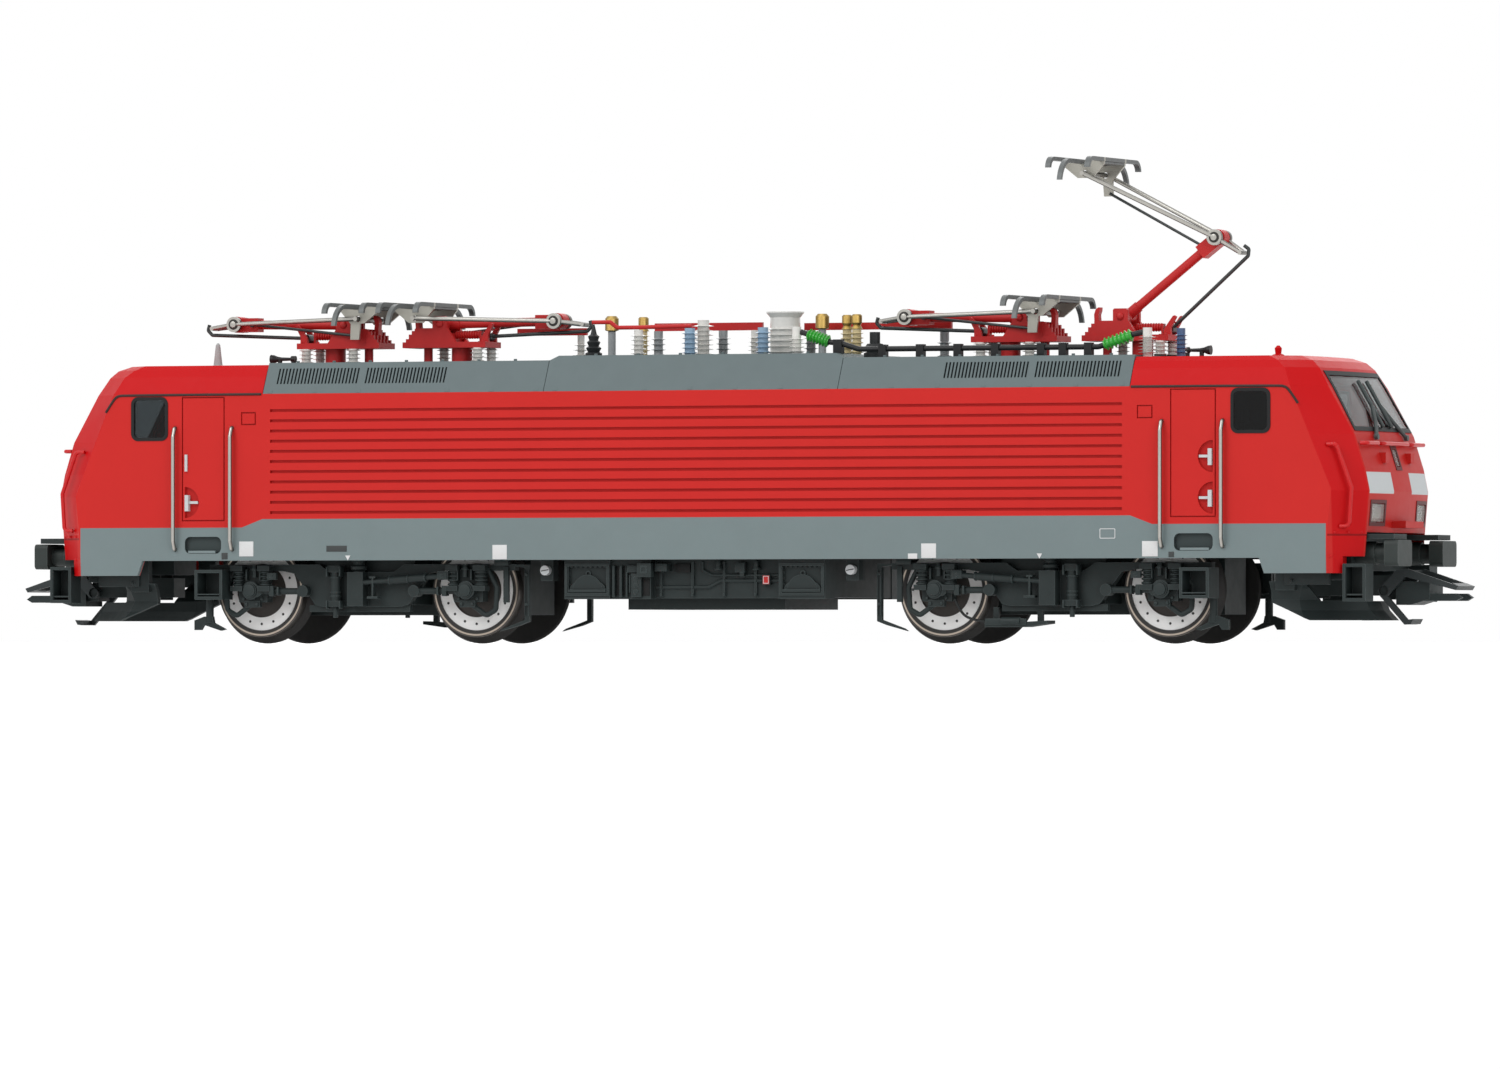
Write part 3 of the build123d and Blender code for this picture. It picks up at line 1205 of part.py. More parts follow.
def head_form():
    p = pantograph_points()
    hx, hz = p["head"]
    middle = hx - 0.3
    half = STRIP_SPACING / 2
    top = hz + STRIP_TOP
    low = top - STRIP_HEIGHT
    pieces = []
    plate_y = HEAD_PLATE_Y
    thick = HEAD_PLATE_THICKNESS
    tab_x = hx + GUIDE_TAB[0]
    tab_z = hz + GUIDE_TAB[1]
    side_outline = ((middle - half - 0.3, low + 0.1), (middle - half - 0.3, low - 0.4), (hx - 1.1, hz - 0.7),
                    (hx + 1.3, hz - 0.7), (middle + half + 0.3, low - 0.4), (middle + half + 0.3, low + 0.1))
    tab_outline = ((hx - 0.4, hz - 0.5), (tab_x - 0.8, tab_z - 0.6), (tab_x + 0.7, tab_z - 0.6), (hx + 1.2, hz - 0.5))
    for side in (-1, 1):
        pieces.append(prism_xz(side_outline, side * plate_y, side * (plate_y + thick)))
    tab = prism_xz(tab_outline, plate_y, plate_y + thick)
    pieces.append(tab)
    floor = slab(middle - half - 0.3, middle + half + 0.3, -plate_y - 0.1, plate_y + 0.1, low - 0.35, low - 0.05)
    pieces.append(floor)
    for x in (middle - half, middle + half):
        pieces.append(strip(x, top, STRIP_FLAT_HALF, STRIP_HALF, STRIP_DROP, STRIP_HEIGHT, STRIP_WIDTH))
    pieces.append(strip(middle, low + 0.2, HORN_FLAT_HALF, HORN_HALF, HORN_DROP, 0.6, 0.7))
    hole = cross_pin(hx, hz, -6, 6, UPPER_WIRE_RADIUS + 0.12)
    return join(pieces) - hole


def strip(x, top, flat, half, drop, height, width):
    # a collector strip or horn across the roof, its ends curving down
    bend = sqrt(0.5)
    run = half - flat
    arc_y = flat + bend * (run - 0.1)
    arc_z = top - (1 - bend) * (drop - 0.1)
    x0 = x - width / 2
    outline = [
        Line((x0, -flat, top), (x0, flat, top)),
        ThreePointArc((x0, flat, top), (x0, arc_y, arc_z), (x0, half, top - drop)),
        Line((x0, half, top - drop), (x0, half - height, top - drop)),
        ThreePointArc((x0, half - height, top - drop), (x0, arc_y - 0.7 * height, arc_z - 0.7 * height),
                      (x0, flat, top - height)),
        Line((x0, flat, top - height), (x0, -flat, top - height)),
        ThreePointArc((x0, -flat, top - height), (x0, -arc_y + 0.7 * height, arc_z - 0.7 * height),
                      (x0, -half + height, top - drop)),
        Line((x0, -half + height, top - drop), (x0, -half, top - drop)),
        ThreePointArc((x0, -half, top - drop), (x0, -arc_y, arc_z), (x0, -flat, top)),
    ]
    return extrude(make_face(outline), amount=width, dir=(1, 0, 0))


def thrust_rod_form():
    # bent wire from its base pivot to a hook round the tail of the upper arm
    p = pantograph_points()
    cx, cz = THRUST_PIVOT
    tx, tz = p["tail"]
    length = hypot(tx - cx, tz - cz)
    angle = degrees(atan2(tz - cz, tx - cx))
    shapes = [(0.5, 0.0), (length + 0.35, -1.05), (length + 1.15, -0.4), (length + 1.0, 0.5)]
    points = [(x, 0, z) for x, z in shapes]
    rod = wire(points, THRUST_WIRE_RADIUS, 0.35)
    eye = cross_pin(0, 0, -0.9, 0.9, 0.65) - cross_pin(0, 0, -2, 2, 0.3 + 0.12)
    return Pos(cx, 0, cz) * Rot(0, -angle, 0) * rod.fuse(eye)


def guide_rod_form():
    p = pantograph_points()
    gx, gz = p["guide"]
    hx, hz = p["head"]
    near = KNEE_HALF_WIDTH + GUIDE_WIRE_RADIUS + 0.15
    far = HEAD_PLATE_Y - GUIDE_WIRE_RADIUS - 0.3
    rod = bar((gx, near, gz), (hx + GUIDE_TAB[0], far, hz + GUIDE_TAB[1]), GUIDE_WIRE_RADIUS)
    return rod.fuse(cross_pin(gx, gz, near - GUIDE_WIRE_RADIUS, near + GUIDE_WIRE_RADIUS, 0.4))


def turn_about(shape, point, angle):
    # a turn in the side view that lifts what lies towards positive X
    x, z = point
    return Pos(x, 0, z) * Rot(0, -angle, 0) * Pos(-x, 0, -z) * shape


def pantograph_base():
    x0, x1, half, z0, z1 = BASE_PLATE
    top = z1 - PIVOT_HEIGHT
    low = z0 - PIVOT_HEIGHT
    inner = EAR_INNER_Y
    outer = inner + EAR_THICKNESS
    roof = HATCH_HEIGHT - PIVOT_HEIGHT
    plate = slab(x0, x1, -half, half, low, top)
    ear = ((-3.7, top - 0.1), (-3.7, -0.63), (-1.17, -0.63), (-1.17, 1.0), (-0.95, 1.2), (0.95, 1.2),
           (1.24, 0.95), (1.24, -0.65), (2.75, top - 0.1))
    arm = ((6.6, top - 0.1), (7.8, top - 0.1), (7.75, -1.8), (8.65, -0.1), (8.35, 0.1), (8.1, 0.0),
           (7.0, -1.5), (6.7, -2.0))
    fin = ((-5.7, top - 0.1), (-5.7, -2.3), (-5.2, -2.3), (-5.2, -1.6), (-4.7, -1.6), (-4.7, -1.05),
           (-4.2, -1.05), (-4.2, -0.7), (-3.6, -0.7), (-3.6, top - 0.1))
    lug = ((-4.95, -1.7), (-5.05, 0.4), (-4.8, 1.15), (-4.4, 1.45), (-4.1, 1.45), (-4.15, 0.9), (-4.35, 0.3),
           (-4.2, -1.7))
    pieces = [plate]
    for side in (-1, 1):
        pieces.append(prism_xz(ear, side * inner, side * outer))
        pieces.append(prism_xz(arm, side * 1.2, side * 1.8))
    for y in BASE_FINS_Y:
        pieces.append(prism_xz(fin, y - 0.25, y + 0.25))
    pieces.append(prism_xz(lug, -0.6, 0.6))
    pieces.append(cross_pin(THRUST_PIVOT[0], THRUST_PIVOT[1], -1.8, 1.8, 0.3))
    pieces.append(cross_pin(7.85, -0.95, -1.8, 1.8, 0.15))
    pieces.append(slab(-3.8, -1.6, -inner - 0.1, inner + 0.1, top - 0.1, -1.0))
    pieces.append(slab(-1.7, 1.7, -inner - 0.1, inner + 0.1, top - 0.1, -1.45))
    pieces.append(slab(5.75, 6.1, -0.5, 0.5, top - 0.1, -1.1))
    pieces.append(post(2.6, 0, roof, low + 0.1, 1.6))
    pieces.append(post(-3.1, 0, roof, low + 0.1, 0.68))
    spring = Rot(0, 90, 0) * coil(0.65, 0.2, 4.25, 10)
    return pieces + [Pos(1.6, 0, -1.65) * spring]


def base_form():
    return join(pantograph_base()) - cross_pin(0, 0, -4, 4, 0.5 + 0.12)


BASE_INSULATORS = ((6.4, 2.6), (6.4, -2.6), (-1.6, 2.6))


def place(shape, x, direction):
    turned = shape if direction > 0 else half_turn(shape)
    return Pos(x, 0, PIVOT_HEIGHT) * turned


def pantographs():
    base = base_form()
    lower = lower_arm_form()
    upper = upper_arm_form()
    head = head_form()
    thrust = thrust_rod_form()
    guide = guide_rod_form()
    start = pantograph_points()
    bases = []
    feet = []
    for number, x, direction, lift, upper_ratio, thrust_ratio, guide_ratio in PANTOGRAPHS:
        end = pantograph_points(lift, upper_ratio)
        bases.append(place(base, x, direction))
        for foot_x, foot_y in BASE_INSULATORS:
            height = BASE_PLATE[3] - HATCH_HEIGHT
            foot = Pos(foot_x, foot_y, HATCH_HEIGHT - PIVOT_HEIGHT) * ribbed(0.7, 1.2, height, 4)
            feet.append(place(foot, x, direction))
        arm = turn_about(lower, (0, 0), lift)
        save(f"pantograph_{number}_lower_arm", [place(arm, x, direction)])
        shift_x = end["knee"][0] - start["knee"][0]
        shift_z = end["knee"][1] - start["knee"][1]
        carried = Pos(shift_x, 0, shift_z)
        arm = turn_about(carried * upper, end["knee"], lift * (1 + upper_ratio))
        save(f"pantograph_{number}_upper_arm", [place(arm, x, direction)])
        rise = Pos(end["head"][0] - start["head"][0], 0, end["head"][1] - start["head"][1])
        save(f"pantograph_{number}_head", [place(rise * head, x, direction)])
        rod = turn_about(thrust, THRUST_PIVOT, lift * thrust_ratio)
        save(f"pantograph_{number}_thrust_rod", [place(rod, x, direction)])
        follow = Pos(end["guide"][0] - start["guide"][0], 0, end["guide"][1] - start["guide"][1])
        rod = turn_about(follow * guide, end["guide"], lift * (1 + guide_ratio))
        save(f"pantograph_{number}_guide_rod", [place(rod, x, direction)])
    save("pantograph_bases", bases)
    return feet


def main():
    save("body_shell", [body_shell()])
    glass = skin(GLASS_THICKNESS)
    save("cab_glazing", glazing(glass))
    save("head_lamps", lamps(glass))
    hatch = end_hatch()
    save("roof_hatch_1", [hatch])
    save("roof_hatch_2", [half_turn(hatch)])
    save("roof_hatch_middle", [middle_hatch()])
    cab = cab_interior()
    save("cab_interiors", [cab, half_turn(cab)])
    save("door_handrails", door_rails())
    save("front_handrails", front_rails())
    save("door_handles", door_handles())
    save("windscreen_wipers", wipers())
    save("chassis", [chassis()])
    save("motor_block", [motor_block()])
    save("underfloor_equipment", [underfloor()])
    save("underfloor_caps", end_caps())
    plough = snow_plough()
    save("snow_ploughs", [plough, half_turn(plough)])
    save("end_steps", four_corners(corner_step()) + step_plates())
    save("buffers", buffers())
    frame = bogie()
    save("bogie_1", [Pos(BOGIE_PIVOT_X, 0, 0) * frame])
    save("bogie_2", [half_turn(Pos(BOGIE_PIVOT_X, 0, 0) * frame)])
    axle = wheelset()
    positions = (BOGIE_PIVOT_X + WHEELBASE / 2, BOGIE_PIVOT_X - WHEELBASE / 2,
                 -BOGIE_PIVOT_X + WHEELBASE / 2, -BOGIE_PIVOT_X - WHEELBASE / 2)
    for number, x in enumerate(positions, start=1):
        save(f"wheelset_{number}", [Pos(x, 0, TREAD_RADIUS) * axle])
    shaft = coupler_shaft()
    hoop = coupler_hoop()
    for number, turn in ((1, 0), (2, 180)):
        save(f"coupler_{number}_shaft", [Rot(0, 0, turn) * shaft])
        save(f"coupler_{number}_hoop", [Rot(0, 0, turn) * hoop])
    feet = pantographs()
    save("insulators_white", white_insulators() + feet)
    save("insulators_grey", stand_insulators(GREY_INSULATORS) + grey_posts())
    save("insulators_blue", stand_insulators(BLUE_INSULATORS))
    save("insulators_cream", stand_insulators(CREAM_INSULATORS))
    save("brass_contacts", brass_contacts())
    save("roof_black_fittings", black_fittings() + horns())
    save("busbars", busbars())
    save("roof_cable", roof_cable())
    save("cable_sleeves", cable_sleeves())
    save("antennas", antennas())


main()
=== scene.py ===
import math

import bmesh
import bpy
from mathutils import Matrix, Vector


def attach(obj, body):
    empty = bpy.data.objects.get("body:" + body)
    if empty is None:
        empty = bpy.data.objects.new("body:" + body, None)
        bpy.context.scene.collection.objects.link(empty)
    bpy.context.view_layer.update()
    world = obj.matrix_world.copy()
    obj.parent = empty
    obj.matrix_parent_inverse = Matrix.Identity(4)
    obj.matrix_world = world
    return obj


bl_info = {
    "name": "Electric locomotive model",
    "version": (1, 0, 0),
    "blender": (4, 5, 0),
    "location": "3D View > Sidebar > Locomotive",
    "description": "Paint, glass, fittings and stage of a scale model electric locomotive",
    "category": "Object",
}

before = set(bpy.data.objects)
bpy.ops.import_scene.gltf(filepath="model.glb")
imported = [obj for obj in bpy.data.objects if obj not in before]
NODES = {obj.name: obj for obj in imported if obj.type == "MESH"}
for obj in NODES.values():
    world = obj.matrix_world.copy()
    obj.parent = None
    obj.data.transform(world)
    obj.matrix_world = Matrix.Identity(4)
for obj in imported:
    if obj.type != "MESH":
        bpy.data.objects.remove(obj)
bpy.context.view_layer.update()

# Millimetres to metres, and the height of the rail head above the origin
MM = 0.001
RAIL = 1.0

# Cab outline by height above the rail: crease X and Y, then front edge X and Y
CAB_LINES = (
    (9.5, 102.4, 17.3, 107.0, 13.1),
    (17.0, 102.9, 17.3, 107.6, 13.1),
    (21.8, 103.4, 17.3, 108.0, 13.1),
    (25.2, 102.0, 17.3, 107.3, 13.1),
    (30.2, 100.0, 17.3, 105.7, 13.1),
    (37.5, 96.9, 17.3, 101.5, 13.1),
    (40.2, 95.6, 15.95, 99.8, 12.4),
    (41.3, 94.2, 15.3, 98.6, 11.9),
    (42.0, 92.6, 14.6, 96.6, 11.2),
)
FRONT_BOW = 0.7
BODY_SIDE = 17.3
EAVES = 37.5
WINDSCREEN_HEIGHTS = (31.0, 39.4)
WINDSCREEN_HALF_WIDTHS = (12.3, 11.5)

# Lamps of a front: Y, height above the rail, width and height
LAMPS = ((-9.6, 18.5, 4.6, 2.8), (9.6, 18.5, 4.6, 2.8), (0.0, 26.8, 1.5, 2.6))

# Painted fields of the body: distances from the middle and heights above the rail
FRONT_HALF_WIDTH = 13.2
FRONT_START = 104.0
CREASE_TOP, CREASE_LEAN, CREASE_END = 96.9, 0.42, 103.4
BAND_TOPS, BAND_RAMP_START, BAND_RAMP_SLOPE, BAND_END = (16.9, 18.2), 71.5, 0.37, 102.6
STRIPE_SIDES, STRIPE_HEIGHTS, STRIPE_START = (4.0, 13.0), (21.4, 24.6), 105.0
# The groove and step slot fields below take painted shade
GROOVE_DEPTHS, GROOVE_END = (16.4, 17.08), 95.0
JOINT_HEIGHTS, JOINT_START = (15.05, 15.35), 102.8
SLOT_LENGTHS, SLOT_HEIGHTS = (78.2, 85.0), (12.7, 15.6)

# Roof: base pivots of the current collectors, with the way each arm reaches
PIVOT_HEIGHT = 48.4
EAR_FACE = 2.8
KNEE_FACE = 2.4
COLLECTORS = ((1, -64.4, -1), (2, -48.1, 1), (3, 48.1, -1), (4, 64.4, 1))

# Running gear: bogie centres with the way their outer ends face, half the wheelbase, and small
# blocks on a bogie's side with the distance from its middle, Y, height and size
BOGIES = ((1, 56.9, 1), (2, -56.9, -1))
HALF_WHEELBASE = 18.2
AXLE_HEIGHT = 7.2
BOGIE_BLOCKS = (
    (-2.7, -13.9, 7.6, (0.3, 1.0, 3.2)), (-2.7, -13.9, 6.1, (1.8, 1.2, 0.35)),
    (-2.7, -13.9, 9.2, (1.0, 1.2, 0.3)), (2.8, -13.9, 10.1, (0.25, 1.3, 1.5)),
    (5.0, -13.9, 10.1, (0.25, 1.3, 1.5)), (2.8, -13.9, 5.0, (0.25, 1.3, 1.2)),
    (5.0, -13.9, 5.0, (0.25, 1.3, 1.2)), (-23.7, -12.4, 11.4, (2.4, 1.0, 0.8)),
    (-24.4, -12.4, 8.0, (0.8, 0.8, 5.4)), (24.35, -13.6, 6.6, (3.8, 5.4, 0.2)))
AXLES = ((1, 75.1), (2, 38.7), (3, -38.7), (4, -75.1))
HUB_RADIUS, DISC_RADIUS, TREAD_RADIUS = 4.15, 6.15, 7.1
WORN_EDGE = (6.72, 6.98)
HOLES, HOLE_CIRCLE, HOLE_RADIUS = 16, 5.15, 0.2

# Camera of the photograph
CAMERA_PLACE = (0.7069, -1.6890, 0.0005)
CAMERA_TURN = 0.395
CAMERA_LENS, CAMERA_SHIFT = 286.9, 0.0706


def at(x, y, z):
    """A point from millimetres with the height above the rail."""
    return Vector((x * MM, y * MM, (z + RAIL) * MM))


def cab_line(z, column):
    for low, high in zip(CAB_LINES, CAB_LINES[1:]):
        if low[0] <= z <= high[0]:
            share = (z - low[0]) / (high[0] - low[0])
            return low[column] + share * (high[column] - low[column])
    return CAB_LINES[-1][column]


def front_x(z, y):
    """How far the bowed cab front stands out at a height and a distance from the middle."""
    return cab_line(z, 3) + FRONT_BOW * (1 - (y / cab_line(z, 4)) ** 2)


# Settings

def colour_setting(name, description, value):
    return bpy.props.FloatVectorProperty(
        name=name, description=description, default=value, subtype="COLOR", size=3, min=0.0, max=1.0)


def length_setting(name, description, value):
    return bpy.props.FloatProperty(name=name, description=description, default=value * MM, unit="LENGTH")


class LocomotiveColours(bpy.types.PropertyGroup):
    body_red: colour_setting("Body red", "Paint of the body sides and fronts", (0.58, 0.024, 0.021))
    roof_red: colour_setting("Cab roof red", "Paint of the cab roofs and corners", (0.54, 0.004, 0.006))
    band_grey: colour_setting("Band grey", "Paint of the lower band of the sides", (0.19, 0.24, 0.245))
    hatch_grey: colour_setting("Roof grey", "Paint of the roof hatches", (0.125, 0.16, 0.165))
    # The front red is the body red darkened with painted shade for the cab fronts
    shaded_front_red: colour_setting("Front red", "Paint of the cab fronts", (0.50, 0.018, 0.015))
    stripe_white: colour_setting("Stripe white", "Warning fields on the cab fronts", (0.58, 0.61, 0.62))
    frame_grey: colour_setting("Frame grey", "Bogies, steps and underfloor boxes", (0.019, 0.027, 0.027))
    buffer_grey: colour_setting("Buffer grey", "Buffer plates", (0.029, 0.037, 0.035))
    wire_silver: colour_setting("Silver wire", "Handrails and arms", (0.40, 0.39, 0.36))
    gasket_black: colour_setting("Gasket black", "Rubber round the windows", (0.006, 0.0065, 0.007))
    glaze_white: colour_setting("White glaze", "White insulators", (0.72, 0.71, 0.68))
    glaze_green: colour_setting("Green glaze", "Ribbed sleeves of the roof cable", (0.05, 0.42, 0.05))
    glaze_blue: colour_setting("Blue glaze", "Blue insulators at the left", (0.30, 0.44, 0.58))
    glaze_dark_blue: colour_setting("Dark blue glaze", "Blue insulators at the ends", (0.07, 0.13, 0.26))
    linkage_red: colour_setting("Linkage red", "Bases, lower arms and bars on the roof", (0.50, 0.020, 0.020))
    gutter_brown: colour_setting("Gutter brown", "Rain gutter over the cab doors", (0.035, 0.016, 0.014))
    plate_white: colour_setting("Plate white", "Blank plates on the grey band", (0.70, 0.71, 0.71))
    lens_grey: colour_setting("Lens grey", "Reflectors behind the lamp glasses", (0.30, 0.29, 0.26))
    seat_grey: colour_setting("Seat grey", "Seats in the cabs", (0.05, 0.055, 0.06))
    rod_grey: colour_setting("Rod grey", "Thin rods of the current collectors", (0.05, 0.055, 0.055))
    glaze_cream: colour_setting("Cream glaze", "Cream insulators", (0.62, 0.52, 0.30))
    glaze_grey: colour_setting("Grey glaze", "Grey insulators", (0.30, 0.32, 0.33))
    brass_yellow: colour_setting("Brass", "Switch contacts on the roof", (0.62, 0.42, 0.13))
    disc_white: colour_setting("Disc white", "Brake discs of the wheels", (0.96, 0.96, 0.95))


class LocomotiveSizes(bpy.types.PropertyGroup):
    gasket_width: length_setting("Gasket width", "Width of the rubber round the windows", 0.35)
    gasket_height: length_setting("Gasket height", "How far the rubber stands out", 0.12)
    gutter_radius: length_setting("Gutter radius", "Rain gutter over the cab doors", 0.2)


class StageSettings(bpy.types.PropertyGroup):
    floor_white: colour_setting("Floor", "Colour of the plain floor", (0.86, 0.86, 0.86))
    floor_glow: bpy.props.FloatProperty(
        name="Floor glow", description="White added to the floor for the camera alone", default=0.45, min=0.0)
    lamp_power: bpy.props.FloatProperty(
        name="Lamp power", description="Strength of the main lamp", default=8.4, min=0.0, unit="POWER")
    sky_strength: bpy.props.FloatProperty(
        name="Sky strength", description="Even light from all round", default=0.55, min=0.0)


def colours():
    return bpy.context.scene.locomotive_colours


def sizes():
    return bpy.context.scene.locomotive_sizes


# Materials

class Signal:
    """A number that changes over a surface."""

    def __init__(self, paint, socket):
        self.paint = paint
        self.socket = socket

    def maths(self, operation, *values):
        return self.paint.node("ShaderNodeMath", {"operation": operation}, (self,) + values)

    def __add__(self, other):
        return self.maths("ADD", other)

    __radd__ = __add__

    def __sub__(self, other):
        return self.maths("SUBTRACT", other)

    def __rsub__(self, other):
        return self.paint.node("ShaderNodeMath", {"operation": "SUBTRACT"}, (other, self))

    def __mul__(self, other):
        return self.maths("MULTIPLY", other)

    def __pow__(self, other):
        return self.maths("POWER", other)

    def __abs__(self):
        return self.maths("ABSOLUTE")

    def above(self, edge, soft=0.04):
        """1 where the number is over the edge and 0 under it."""
        settings = {"clamp": True, "interpolation_type": "SMOOTHSTEP"}
        return self.paint.node("ShaderNodeMapRange", settings, (self, edge - soft, edge + soft, 0.0, 1.0))

    def below(self, edge, soft=0.04):
        return 1 - self.above(edge, soft)

    def inside(self, low, high, soft=0.04):
        return self.above(low, soft) * self.below(high, soft)

    def least(self, other):
        return self.maths("MINIMUM", other)

    def most(self, other):
        return self.maths("MAXIMUM", other)


class Paint:
    """One procedural finish, in millimetres on the piece's own coordinates."""

    def __init__(self, name):
        self.material = bpy.data.materials.new(name)
        self.material.use_nodes = True
        self.tree = self.material.node_tree
        self.tree.nodes.clear()
        self.surface = self.tree.nodes.new("ShaderNodeBsdfPrincipled")
        output = self.tree.nodes.new("ShaderNodeOutputMaterial")
        self.tree.links.new(self.surface.outputs[0], output.inputs["Surface"])
        place = self.tree.nodes.new("ShaderNodeTexCoord").outputs["Object"]
        self.place = self.node("ShaderNodeVectorMath", {"operation": "SCALE"}, {0: place, "Scale": 1 / MM})
        split = self.tree.nodes.new("ShaderNodeSeparateXYZ")
        self.tree.links.new(self.place.socket, split.inputs[0])
        self.x = Signal(self, split.outputs[0])
        self.y = Signal(self, split.outputs[1])
        self.z = Signal(self, split.outputs[2]) - RAIL
        self.bumps = []

    def node(self, kind, settings=None, values=(), output=0):
        made = self.tree.nodes.new(kind)
        for key, value in (settings or {}).items():
            setattr(made, key, value)
        pairs = values.items() if isinstance(values, dict) else enumerate(values)
        for key, value in pairs:
            if isinstance(value, Signal):
                self.tree.links.new(value.socket, made.inputs[key])
            elif isinstance(value, bpy.types.NodeSocket):
                self.tree.links.new(value, made.inputs[key])
            else:
                made.inputs[key].default_value = value
        return Signal(self, made.outputs[output])

    def noise(self, scale, detail=3.0, roughness=0.5):
        """Cloudy noise with about this many patches in a millimetre."""
        values = {"Vector": self.place, "Scale": scale, "Detail": detail, "Roughness": roughness}
        return self.node("ShaderNodeTexNoise", {}, values)

    def facing(self, axis):
        """How far the surface faces along an axis, from -1 to 1."""
        geometry = self.tree.nodes.new("ShaderNodeNewGeometry")
        return self.node("ShaderNodeSeparateXYZ", {}, {0: geometry.outputs["Normal"]}, axis)

    def mix(self, mask, first, second):
        """The first colour where the mask is 0 and the second where it is 1."""
        pair = [value if isinstance(value, Signal) else (*value[:3], 1.0) for value in (first, second)]
        return self.node("ShaderNodeMix", {"data_type": "RGBA"}, {0: mask, 6: pair[0], 7: pair[1]}, 2)

    def bump(self, height, distance, strength=1.0):
        """Relief of so many millimetres."""
        values = {"Height": height, "Distance": distance * MM, "Strength": strength}
        if self.bumps:
            values["Normal"] = self.bumps[-1]
        self.bumps.append(self.node("ShaderNodeBump", {}, values))

    def edges(self, width):
        """How near an edge of the form is, up to about 1 on the edge itself."""
        soft = self.node("ShaderNodeBevel", {"samples": 4}, {"Radius": width * MM})
        plain = self.tree.nodes.new("ShaderNodeNewGeometry").outputs["Normal"]
        turn = self.node("ShaderNodeVectorMath", {"operation": "DOT_PRODUCT"}, {0: soft, 1: plain}, "Value")
        return ((1 - turn) * 3.5).least(1.0)

    def open_sky(self, reach):
        """How open a place is, from 0 in a corner to 1 on a free face."""
        values = {"Distance": reach * MM}
        return self.node("ShaderNodeAmbientOcclusion", {"samples": 4}, values, "AO")

    def finish(self, **values):
        """Sets the surface's sockets by name and returns the material."""
        values.setdefault("specular_ior_level", 0.25)
        for key, value in values.items():
            socket = self.surface.inputs[key.replace("_", " ").title().replace("Ior", "IOR")]
            if isinstance(value, Signal):
                self.tree.links.new(value.socket, socket)
            elif socket.type == "RGBA":
                socket.default_value = (*value[:3], 1.0)
            else:
                socket.default_value = value
        if self.bumps:
            self.tree.links.new(self.bumps[-1].socket, self.surface.inputs["Normal"])
        return self.material


def mottled(paint, colour, amount, scale):
    """A paint colour that varies slightly in patches."""
    dark = [part * (1 - amount) for part in colour]
    light = [min(1.0, part * (1 + amount)) for part in colour]
    return paint.mix(paint.noise(scale, 4.0, 0.6), dark, light)


def body_paint():
    """Red sides and fronts over a grey band, with white fields on the fronts."""
    paint = Paint("body_paint")
    c = colours()
    length = abs(paint.x)
    side = abs(paint.y)
    red = mottled(paint, c.body_red, 0.05, 0.12)
    bright = mottled(paint, c.roof_red, 0.05, 0.12)
    crease = (CREASE_TOP + (EAVES - paint.z) * CREASE_LEAN).least(CREASE_END)
    corner = (length - crease).above(0.0, 0.1) * side.above(FRONT_HALF_WIDTH, 0.1)
    red = paint.mix(paint.z.above(EAVES, 0.05).most(corner), red, bright)
    # Painted shade: the cab fronts take the darker front red
    front = length.above(FRONT_START, 0.1) * side.below(FRONT_HALF_WIDTH, 0.1)
    red = paint.mix(front, red, c.shaded_front_red)
    low, high = BAND_TOPS
    slope = (high - (length - BAND_RAMP_START) * BAND_RAMP_SLOPE).least(high).most(low)
    band = (paint.z - slope).below(0.0, 0.03) * length.below(BAND_END, 0.05) * side.above(16.5, 0.1)
    colour = paint.mix(band, red, mottled(paint, c.band_grey, 0.05, 0.2))
    stripe = paint.z.inside(*STRIPE_HEIGHTS, 0.05) * side.inside(*STRIPE_SIDES, 0.05)
    colour = paint.mix(stripe * length.above(STRIPE_START, 0.1), colour, c.stripe_white)
    # Painted shade in the grooves of the ribbed side walls, red above the band and grey in it
    depth = side.inside(*GROOVE_DEPTHS, 0.05) * length.below(GROOVE_END, 0.5) * paint.z.below(37.3, 0.1)
    groove_shade = paint.mix(band, (0.30, 0.008, 0.010), (0.05, 0.065, 0.066))
    colour = paint.mix(depth * 0.3, colour, groove_shade)
    joint = paint.z.inside(*JOINT_HEIGHTS, 0.06) * length.above(JOINT_START, 0.05) * side.above(12.9, 0.1)
    colour = paint.mix(joint * 0.7, colour, (0.16, 0.004, 0.005))
    # Painted shade inside the step slot recesses
    slot = length.inside(*SLOT_LENGTHS) * paint.z.inside(*SLOT_HEIGHTS) * side.below(17.2, 0.03)
    colour = paint.mix(slot * 0.8, colour, (0.02, 0.027, 0.027))
    inside = side.below(16.35, 0.03) * length.below(94.0, 0.3) * paint.z.below(37.0, 0.05)
    colour = paint.mix(inside, colour, (0.10, 0.10, 0.10))
    paint.bump(paint.noise(4.0, 2.0), 0.012, 0.35)
    rough = 0.36 + paint.noise(0.6, 3.0) * 0.12
    return paint.finish(base_color=colour, roughness=rough, specular_ior_level=0.12)


def hatch_paint():
    """Roof grey, a little dusty, with painted shade in the grilles."""
    paint = Paint("hatch_paint")
    c = colours()
    side = abs(paint.y)
    base = mottled(paint, c.hatch_grey, 0.07, 0.3)
    lean = BODY_SIDE - (paint.z - EAVES) * 0.5
    # Painted shade in the grille slots
    grille_shade = (lean - side).above(0.18, 0.06) * side.above(14.0, 0.1) * paint.z.inside(38.9, 41.5, 0.05)
    colour = paint.mix(grille_shade * 0.85, base, (0.012, 0.016, 0.017))
    paint.bump(paint.noise(3.0, 3.0), 0.015, 0.4)
    return paint.finish(base_color=colour, roughness=0.45 + paint.noise(0.5, 4.0) * 0.15)


